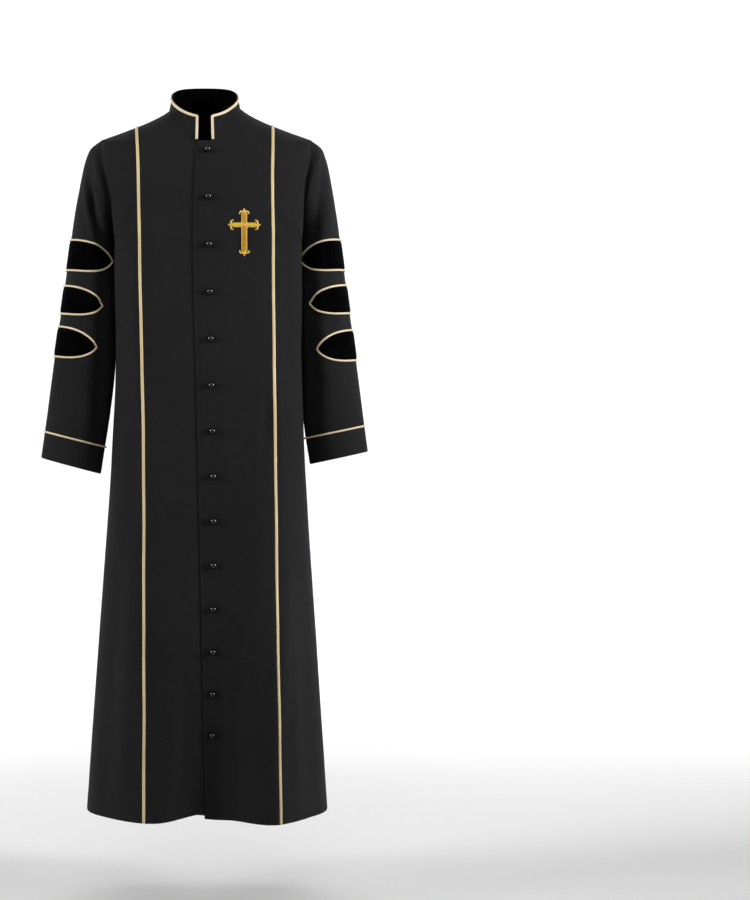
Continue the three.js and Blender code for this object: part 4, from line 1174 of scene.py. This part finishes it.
def build_lap_stitches(points, normal, from_edge):
    """The line of topstitching along the edge of the lap."""
    column = int(np.argmin(np.abs(from_edge[LAP_STITCHES["row"]] - LAP_STITCHES["inset"])))
    path, facing = points[2:-1, column], normal[2:-1, column]
    run = lengths(path)
    at = np.arange(2, run[-1] - 4, LAP_STITCHES["pitch"])
    starts, ends = sampled(path, run, at), sampled(path, run, at + LAP_STITCHES["length"])
    parts = stitch_parts(starts, ends, unit(sampled(facing, run, at)), LAP_STITCHES["radius"])
    wear(joined("lap_stitches", parts, [BLACK_THREAD]), "cloth")


# ---- Sleeves ----
sleeve_ring = curves(SLEEVE_RINGS)


def sleeve_point(side, step, degrees):
    """A point of a sleeve: step runs down its rings, and 0 degrees is outermost and 90 in front."""
    step, degrees = matched(step, degrees)
    angle = np.radians(degrees)
    far = np.clip(step / 3, 0, 1)
    outer_x = SHOULDER_X + (sleeve_ring["outer_x"](step) - SHOULDER_X) * lerp(1, side["swing"], far)
    down = far * step / CUFF_SEAM
    outer_z = sleeve_ring["outer_z"](step) - side["outer_drop"] * down
    inner_z = sleeve_ring["inner_z"](step) - side["inner_drop"] * down
    reach = (1 + np.cos(angle)) / 2
    return stack(
        side["sign"] * lerp(sleeve_ring[side["name"]](step), outer_x, reach),
        sleeve_ring["centre_y"](step) - sleeve_ring["depth"](step) * np.sin(angle),
        lerp(inner_z, outer_z, reach),
    )


def sleeve_normal(side, step, degrees):
    around = sleeve_point(side, step, degrees + 4) - sleeve_point(side, step, degrees - 4)
    along = sleeve_point(side, step + 0.2, degrees) - sleeve_point(side, step - 0.2, degrees)
    return unit(np.cross(around, along)) * side["sign"]


def sleeve_creases(name, step, degrees, base):
    """How far a sleeve's cloth stands out: no ridge on its inner side, and no crease at its ends."""
    x, z = np.abs(base[..., 0]), base[..., 2]
    front = soft_step(np.sin(np.radians(degrees)) * SLEEVE_FRONT_TO_BACK + 0.5)
    out = creased(SLEEVE_FRONT_CREASES[name], x, z) * front
    out = out + creased(SLEEVE_BACK_CREASES[name], x, z) * (1 - front)
    inner = bump((degrees % 360 - 180) / SLEEVE_INNER["half_degrees"])
    filled = SLEEVE_INNER["filled"] * bump((step - SLEEVE_INNER["step"]) / SLEEVE_INNER["steps"])
    out = np.where(out > 0, out * (1 - inner), out) + filled * inner
    from_top = soft_step((step - SLEEVE_TOP["step"]) / SLEEVE_TOP["run"])
    return out * from_top * soft_step((SLEEVE_BOTTOM["step"] - step) / SLEEVE_BOTTOM["run"])


def sleeve_place(name, step, degrees, lift=0):
    """Points on the creased sleeve, moved out, and the way it faces without its creases."""
    side = SIDES[name]
    step, degrees = matched(step, degrees)
    base, normal = sleeve_point(side, step, degrees), sleeve_normal(side, step, degrees)
    return base + normal * (sleeve_creases(name, step, degrees, base) + lift)[..., None], normal


def build_tube(name, piece_name, node, steps, seams, at_armhole):
    """A sleeve or a cuff, with the depths of the seams at its ends. An end with no depth is a hem."""
    degrees = 360 * np.arange(TUBE_COLUMNS) / TUBE_COLUMNS
    step, degrees = matched(steps[:, None], degrees[None])
    points, normal = sleeve_place(name, step, degrees)
    base = sleeve_point(SIDES[name], step, degrees)
    fall = -metric_uv(base)[..., 1]
    run = np.radians(degrees) * TUBE_RADIUS
    away = armhole_ease(base[..., 2], fall) if at_armhole else 0
    for distance, depth in zip((fall, fall[-1:] - fall), seams):
        if depth:
            away = seamed(away, run, distance, depth, 12)
        else:
            away = away - 0.45 * bump(distance / 3)
    hang(piece_name, node, points + normal * away[..., None], normal, base, wrap=True)


def build_sleeve(name):
    sleeve, cuff = f"sleeve_{name}_tube", f"cuff_{name}_band"
    places = np.unique(np.r_[np.linspace(0, 16, 129), 0.03, 0.07, 15.93, 15.97])
    steps = np.interp(places, np.arange(len(SLEEVE_STEPS)), SLEEVE_STEPS)
    seams = (FINE_SEAM_DEPTH, SEAM_DEPTH)
    build_tube(name, sleeve, f"sleeve_{name}", steps, seams, True)
    steps = np.r_[CUFF_SEAM + CUFF_GAP, 9.02, 9.045, np.linspace(9.08, 9.96, 11), 9.975, 9.99, 10]
    build_tube(name, cuff, f"cuff_{name}", steps, (SEAM_DEPTH, 0), False)
    points, normal = sleeve_place(name, CUFF_SEAM, np.arange(0, 360, 4.0), CORD_RADIUS - 0.3)
    piping = cord_loop(f"cuff_{name}_binding", points, normal, PALE_GOLD, 12)
    wear(piping, "pale_piping", f"cuff_piping_{name}")


# ---- Velvet bars ----
def bar_half(bar, degrees):
    across = np.minimum(1, np.abs(degrees) / bar["reach"])
    return np.maximum(0.4, bar["height"] / 2 * (1 - across**BAR_POWER))


def bar_step(name, bar, degrees, below):
    """The ring step at an angle that lies a distance below the bar's tilted middle line."""
    degrees, below = matched(degrees, below)
    side, first = SIDES[name], bar[name]
    slope = math.tan(math.radians(side["bar_tilt"]))
    edge = solve(lambda step: -sleeve_point(side, step, 0)[..., 2], np.array(-float(first)), 1, 9.9)
    edge_at = abs(float(sleeve_point(side, edge, 0)[..., 0]))

    def depth(step):
        point = sleeve_point(side, step, degrees)
        return -point[..., 2] - slope * (edge_at - np.abs(point[..., 0]))

    return solve(depth, below - first, 1.0, 9.9)


def build_bar(name, bar):
    """The velvet lies flat on the sleeve and curves down to its rim."""
    reach = bar["reach"]
    degrees = np.unique(np.r_[np.linspace(-reach, reach, 101), -reach + 0.7, reach - 0.7])
    share = np.r_[-1, -0.985, -0.95, np.linspace(-0.9, 0.9, 15), 0.95, 0.985, 1][:, None]
    half = bar_half(bar, degrees)
    grid, below = matched(degrees[None], share * half)
    step = bar_step(name, bar, grid, below)
    edge = np.minimum(half * (1 - np.abs(share)), (reach - np.abs(grid)) * 0.9)
    drop = BAR_EDGE["share"] * bump(edge / BAR_EDGE["reach"]) ** 0.5
    lift = SEAT_GAP + VELVET_CLOTH + BAR_EDGE["rise"] * (1 - drop)
    points, normal = sleeve_place(name, step, grid, lift)
    piece = shell(f"bar_{name}_{bar['name']}_velvet", points, normal, VELVET_CLOTH, [VELVET, VELVET])
    wear(piece, "velvet", f"bar_{name}_{bar['name']}")
    declare(points)
    build_bar_piping(name, bar, degrees, half)


def build_bar_piping(name, bar, degrees, half):
    """A cord on the sleeve round the bar, a set distance outside its outline."""
    around = lengths(sleeve_point(SIDES[name], bar_step(name, bar, degrees, 0), degrees))
    outline = np.concatenate([np.stack([around, -half], -1), np.stack([around, half], -1)[::-1]])
    chord = np.roll(outline, -1, axis=0) - np.roll(outline, 1, axis=0)
    outward = unit(np.stack([chord[:, 1], -chord[:, 0]], -1)) * (CORD_RADIUS + BAR_PIPING_GAP)
    per_degree = np.gradient(around, degrees)
    at = np.r_[degrees, degrees[::-1]] + outward[:, 0] / np.r_[per_degree, per_degree[::-1]]
    step = bar_step(name, bar, at, outline[:, 1] + outward[:, 1])
    points, normal = sleeve_place(name, step, at, CORD_RADIUS + 0.1)
    apart = np.linalg.norm(np.diff(points, axis=0, append=points[:1]), axis=-1) > 0.4
    piping = cord_loop(f"bar_{name}_{bar['name']}_binding", points[apart], normal[apart], PALE_GOLD, 10)
    wear(piping, "pale_piping", f"bar_piping_{name}_{bar['name']}")


# ---- Buttons and buttonholes ----
def lathe(profile, sides, point, normal):
    """Points and faces of a turned shape that stands on a point of the cloth."""
    across = unit(np.cross(normal, [0, 0, 1.0]))
    up = np.cross(across, normal)
    angle = full_turn(sides)[:, None]
    circle = np.cos(angle) * across + np.sin(angle) * up
    points = point + profile[:, 1, None, None] * normal + profile[:, 0, None, None] * circle
    return points, capped_faces(len(profile), sides)


def build_button(index):
    z = button_z(index)
    x = float(button_x(z))
    turn = np.radians(np.linspace(-58, 88, 20))
    high = BUTTON_BALL["middle"] + BUTTON_BALL["half_height"] * np.sin(turn)
    point, normal = front_place(x, z)
    points, faces = lathe(np.stack([BUTTON_RADIUS * np.cos(turn), high], -1), 32, point, normal)
    number = f"{index + 1:02d}"
    wear(make_object(f"button_{number}_ball", points, faces, [BUTTON]), "button", f"button_{number}")
    build_buttonhole(number, x, z)


def build_buttonhole(number, x, z):
    """A worked slit under the button, running towards the edge of the lap."""
    starts, ends, normals = [], [], []
    for sign in (-1, 1):
        for s in np.linspace(BUTTONHOLE["starts"], BUTTONHOLE["ends"], 21):
            near, normal = front_place(x + s, z + sign * BUTTONHOLE["slit"], 0.12)
            far, _ = front_place(x + s + BUTTONHOLE["slant"], z + sign * BUTTONHOLE["half"], 0.12)
            starts.append(near)
            ends.append(far)
            normals.append(normal)
    parts = stitch_parts(starts, ends, normals, BUTTONHOLE["thread"])
    wear(joined(f"buttonhole_{number}", parts, [BLACK_THREAD]), "cloth")


# ---- The cross ----
def satin_pad(path, half_widths, height, kind, lift=0.0, thread=0.5):
    """A raised bar of satin stitch along a path in the cross's own plane.

    path holds (across, up) points and half_widths half the bar's width at each."""
    path, half_widths = np.array(path, float), np.array(half_widths, float)
    run = lengths(path)
    s = np.linspace(0, run[-1], max(12, int(run[-1] / (thread / 4))))
    middle = np.stack([curve(run, path[:, 0])(s), curve(run, path[:, 1])(s)], -1)
    width = curve(run, half_widths)(s)[:, None]
    along = unit(np.gradient(middle, axis=0))
    side = np.stack([-along[:, 1], along[:, 0]], -1)
    share = np.sin(np.linspace(-np.pi / 2, np.pi / 2, 13))[None]
    flat = middle[:, None] + side[:, None] * (width * share)[..., None]
    dome = np.sqrt(np.maximum(0, 1 - share**2)) ** 0.8
    ridges = 0.07 * np.cos(2 * np.pi * (s[:, None] + 0.25 * width * share) / thread)
    full = np.minimum(1, width / max(width.max(), 0.1) + 0.25)
    return flat, lift + (height * full + ridges) * dome, kind


def arm_pads(length, half, turn, core):
    """The pads of one arm of the cross, which is turned from upright."""
    neck = length - 11
    c, s = math.cos(math.radians(turn)), math.sin(math.radians(turn))

    def placed(points, sign=1):
        return [(sign * out * c - along * s, sign * out * s + along * c) for along, out in points]

    middle = placed([(0, 0), (neck * 0.5, 0), (neck + 1.5, 0)])
    pads = [satin_pad(middle, [half * 0.80, half * 0.76, half * 0.80], 1.5, core, 0.3)]
    # The borders are raised pads along the arm's edges. Their paler thread is partly painted highlight,
    # where the raised edge catches the light.
    border = [(3.5, half * 0.87), (neck * 0.5, half * 0.83), (neck + 1.5, half * 0.87)]
    border_half = [half * 0.13, half * 0.12, half * 0.13]
    leaf = [(neck + 2.2, 1.0), (neck + 5.0, 3.4), (neck + 4.6, 6.6), (neck + 2.2, 8.6), (neck - 0.8, 9.6)]
    for sign in (1, -1):
        pads.append(satin_pad(placed(border, sign), border_half, 1.2, BRIGHT_GOLD, 0.4, 0.42))
        pads.append(satin_pad(placed(leaf, sign), [0.8, 1.5, 1.6, 1.15, 0.25], 1.4, BRIGHT_GOLD, 0.4, 0.42))
    tip = placed([(neck + 1.0, 0), (neck + 4.2, 0), (neck + 7.0, 0)])
    pads.append(satin_pad(tip, [half * 0.6, half * 0.62, 2.0], 1.7, YELLOW, 0.35))
    # The pad at the arm's end is rose thread: a painted highlight.
    end = placed([(neck + 6.2, 0), (neck + 8.6, 0), (neck + 11.0, 0)])
    pads.append(satin_pad(end, [1.9, 1.9, 0.3], 1.6, ROSE_HIGHLIGHT, 0.4))
    return pads


def build_cross():
    pads = [
        *arm_pads(CROSS_UP, 5.7, 0, AMBER),
        *arm_pads(CROSS_ARM, 4.8, -90, YELLOW),
        *arm_pads(CROSS_DOWN, 5.7, 180, AMBER),
        *arm_pads(CROSS_ARM, 4.8, 90, YELLOW),
        # The round boss at the crossing is rose thread: a painted highlight.
        satin_pad([(-3.0, 0), (0, 0), (3.0, 0)], [0.6, 3.0, 0.6], 1.0, ROSE_HIGHLIGHT, 1.4),
    ]
    parts = []
    for flat, rise, kind in pads:
        foot, normal = front_place(CROSS_X + flat[..., 0], CROSS_Z + flat[..., 1])
        outer, under = foot + normal * (SEAT_GAP + rise)[..., None], foot + normal * 0.15
        rows, columns = rise.shape
        top, edge = grid_faces(rows, columns), grid_edge(rows, columns)[0]
        faces = [top, (top + rise.size)[:, ::-1], wall(edge, edge + rise.size)]
        points = np.concatenate([outer.reshape(-1, 3), under.reshape(-1, 3)])
        parts.append((points, np.concatenate(faces).tolist(), kind))
    wear(joined("cross_embroidery", parts, CROSS_THREADS), "gold_thread", "cross")


# ---- Floor, lights and camera, in metres ----
FLOOR_Z = -1.53
BACKDROP_Y = 5.6
STAGE_HALF_WIDTH, STAGE_FRONT_Y, STAGE_HEIGHT, STAGE_BEND = 7.0, -7.0, 5.5, 0.7
CAMERA_DISTANCE, CAMERA_Z = 4.4, -0.6685
# The height that the camera sees at the robe, and how far the robe stands from the picture's middle.
VIEW_HEIGHT = 1.76471
VIEW_SHIFT = 0.1875


def build_stage():
    """A floor that bends up into a backdrop."""
    turn = np.radians(np.linspace(0, 90, 13))
    bend_y = BACKDROP_Y - STAGE_BEND + STAGE_BEND * np.sin(turn)
    bend_z = STAGE_BEND - STAGE_BEND * np.cos(turn)
    y, z = np.r_[STAGE_FRONT_Y, bend_y, BACKDROP_Y], np.r_[0, bend_z, STAGE_HEIGHT]
    x = np.array([-STAGE_HALF_WIDTH, STAGE_HALF_WIDTH])
    points = stack(x[None], y[:, None], FLOOR_Z + z[:, None]) / MM
    make_object("stage_sweep", points, grid_faces(len(y), 2)[:, ::-1], [stage_material()])


def add_light(name, place, target, size, power, spread=180):
    data = bpy.data.lights.new(name, "AREA")
    data.shape, data.size, data.size_y = "RECTANGLE", size[0], size[1]
    data.energy, data.spread = power, math.radians(spread)
    light = bpy.data.objects.new(name, data)
    bpy.context.scene.collection.objects.link(light)
    light.location = place
    aim = np.array(target, float) - np.array(place, float)
    light.rotation_euler = Vector(aim).to_track_quat("-Z", "Y").to_euler()


def build_lights():
    collar, chest = (0, 0, -0.05), (0, 0, -0.3)
    add_light("softbox_left", (-3.1, -1.15, 0.35), chest, (1.6, 2.0), 9.8, 44)
    add_light("softbox_right", (3.1, -1.15, 0.35), chest, (1.6, 2.0), 14, 44)
    add_light("front_top", (0, -3.4, 2.2), collar, (3.0, 1.6), 5.8, 56)
    add_light("floor_top", (0, 3.8, 2.8), (0, 4.4, FLOOR_Z), (6.0, 3.0), 120, 150)
    add_light("backdrop_left", (-3.4, 2.6, 1.4), (-0.8, BACKDROP_Y, -0.2), (1.2, 2.4), 60)
    add_light("backdrop_right", (3.4, 2.6, 1.4), (0.8, BACKDROP_Y, -0.2), (1.2, 2.4), 60)
    world = bpy.data.worlds.new("studio")
    world.use_nodes = True
    world.node_tree.nodes["Background"].inputs["Color"].default_value = colour(1, 1, 1)
    world.node_tree.nodes["Background"].inputs["Strength"].default_value = 0.2
    bpy.context.scene.world = world
    bpy.context.scene.view_settings.view_transform = "Standard"


def build_camera():
    data = bpy.data.cameras.new("camera")
    data.sensor_width = 36
    data.lens = data.sensor_width * CAMERA_DISTANCE / VIEW_HEIGHT
    data.shift_x = VIEW_SHIFT
    camera = bpy.data.objects.new("camera", data)
    bpy.context.scene.collection.objects.link(camera)
    camera.location = (0, -CAMERA_DISTANCE, CAMERA_Z)
    camera.rotation_euler = (math.radians(90), 0, 0)
    bpy.context.scene.camera = camera


build_camera()
build_stage()
build_lights()
for side_sign in (RIGHT, LEFT):
    build_side_front(side_sign)
    build_centre_front(side_sign)
build_back()
build_collar()
build_collar_piping()
for side_name in SIDES:
    build_sleeve(side_name)
    for velvet_bar in BARS:
        build_bar(side_name, velvet_bar)
for button in range(BUTTON_COUNT):
    build_button(button)
build_cross()
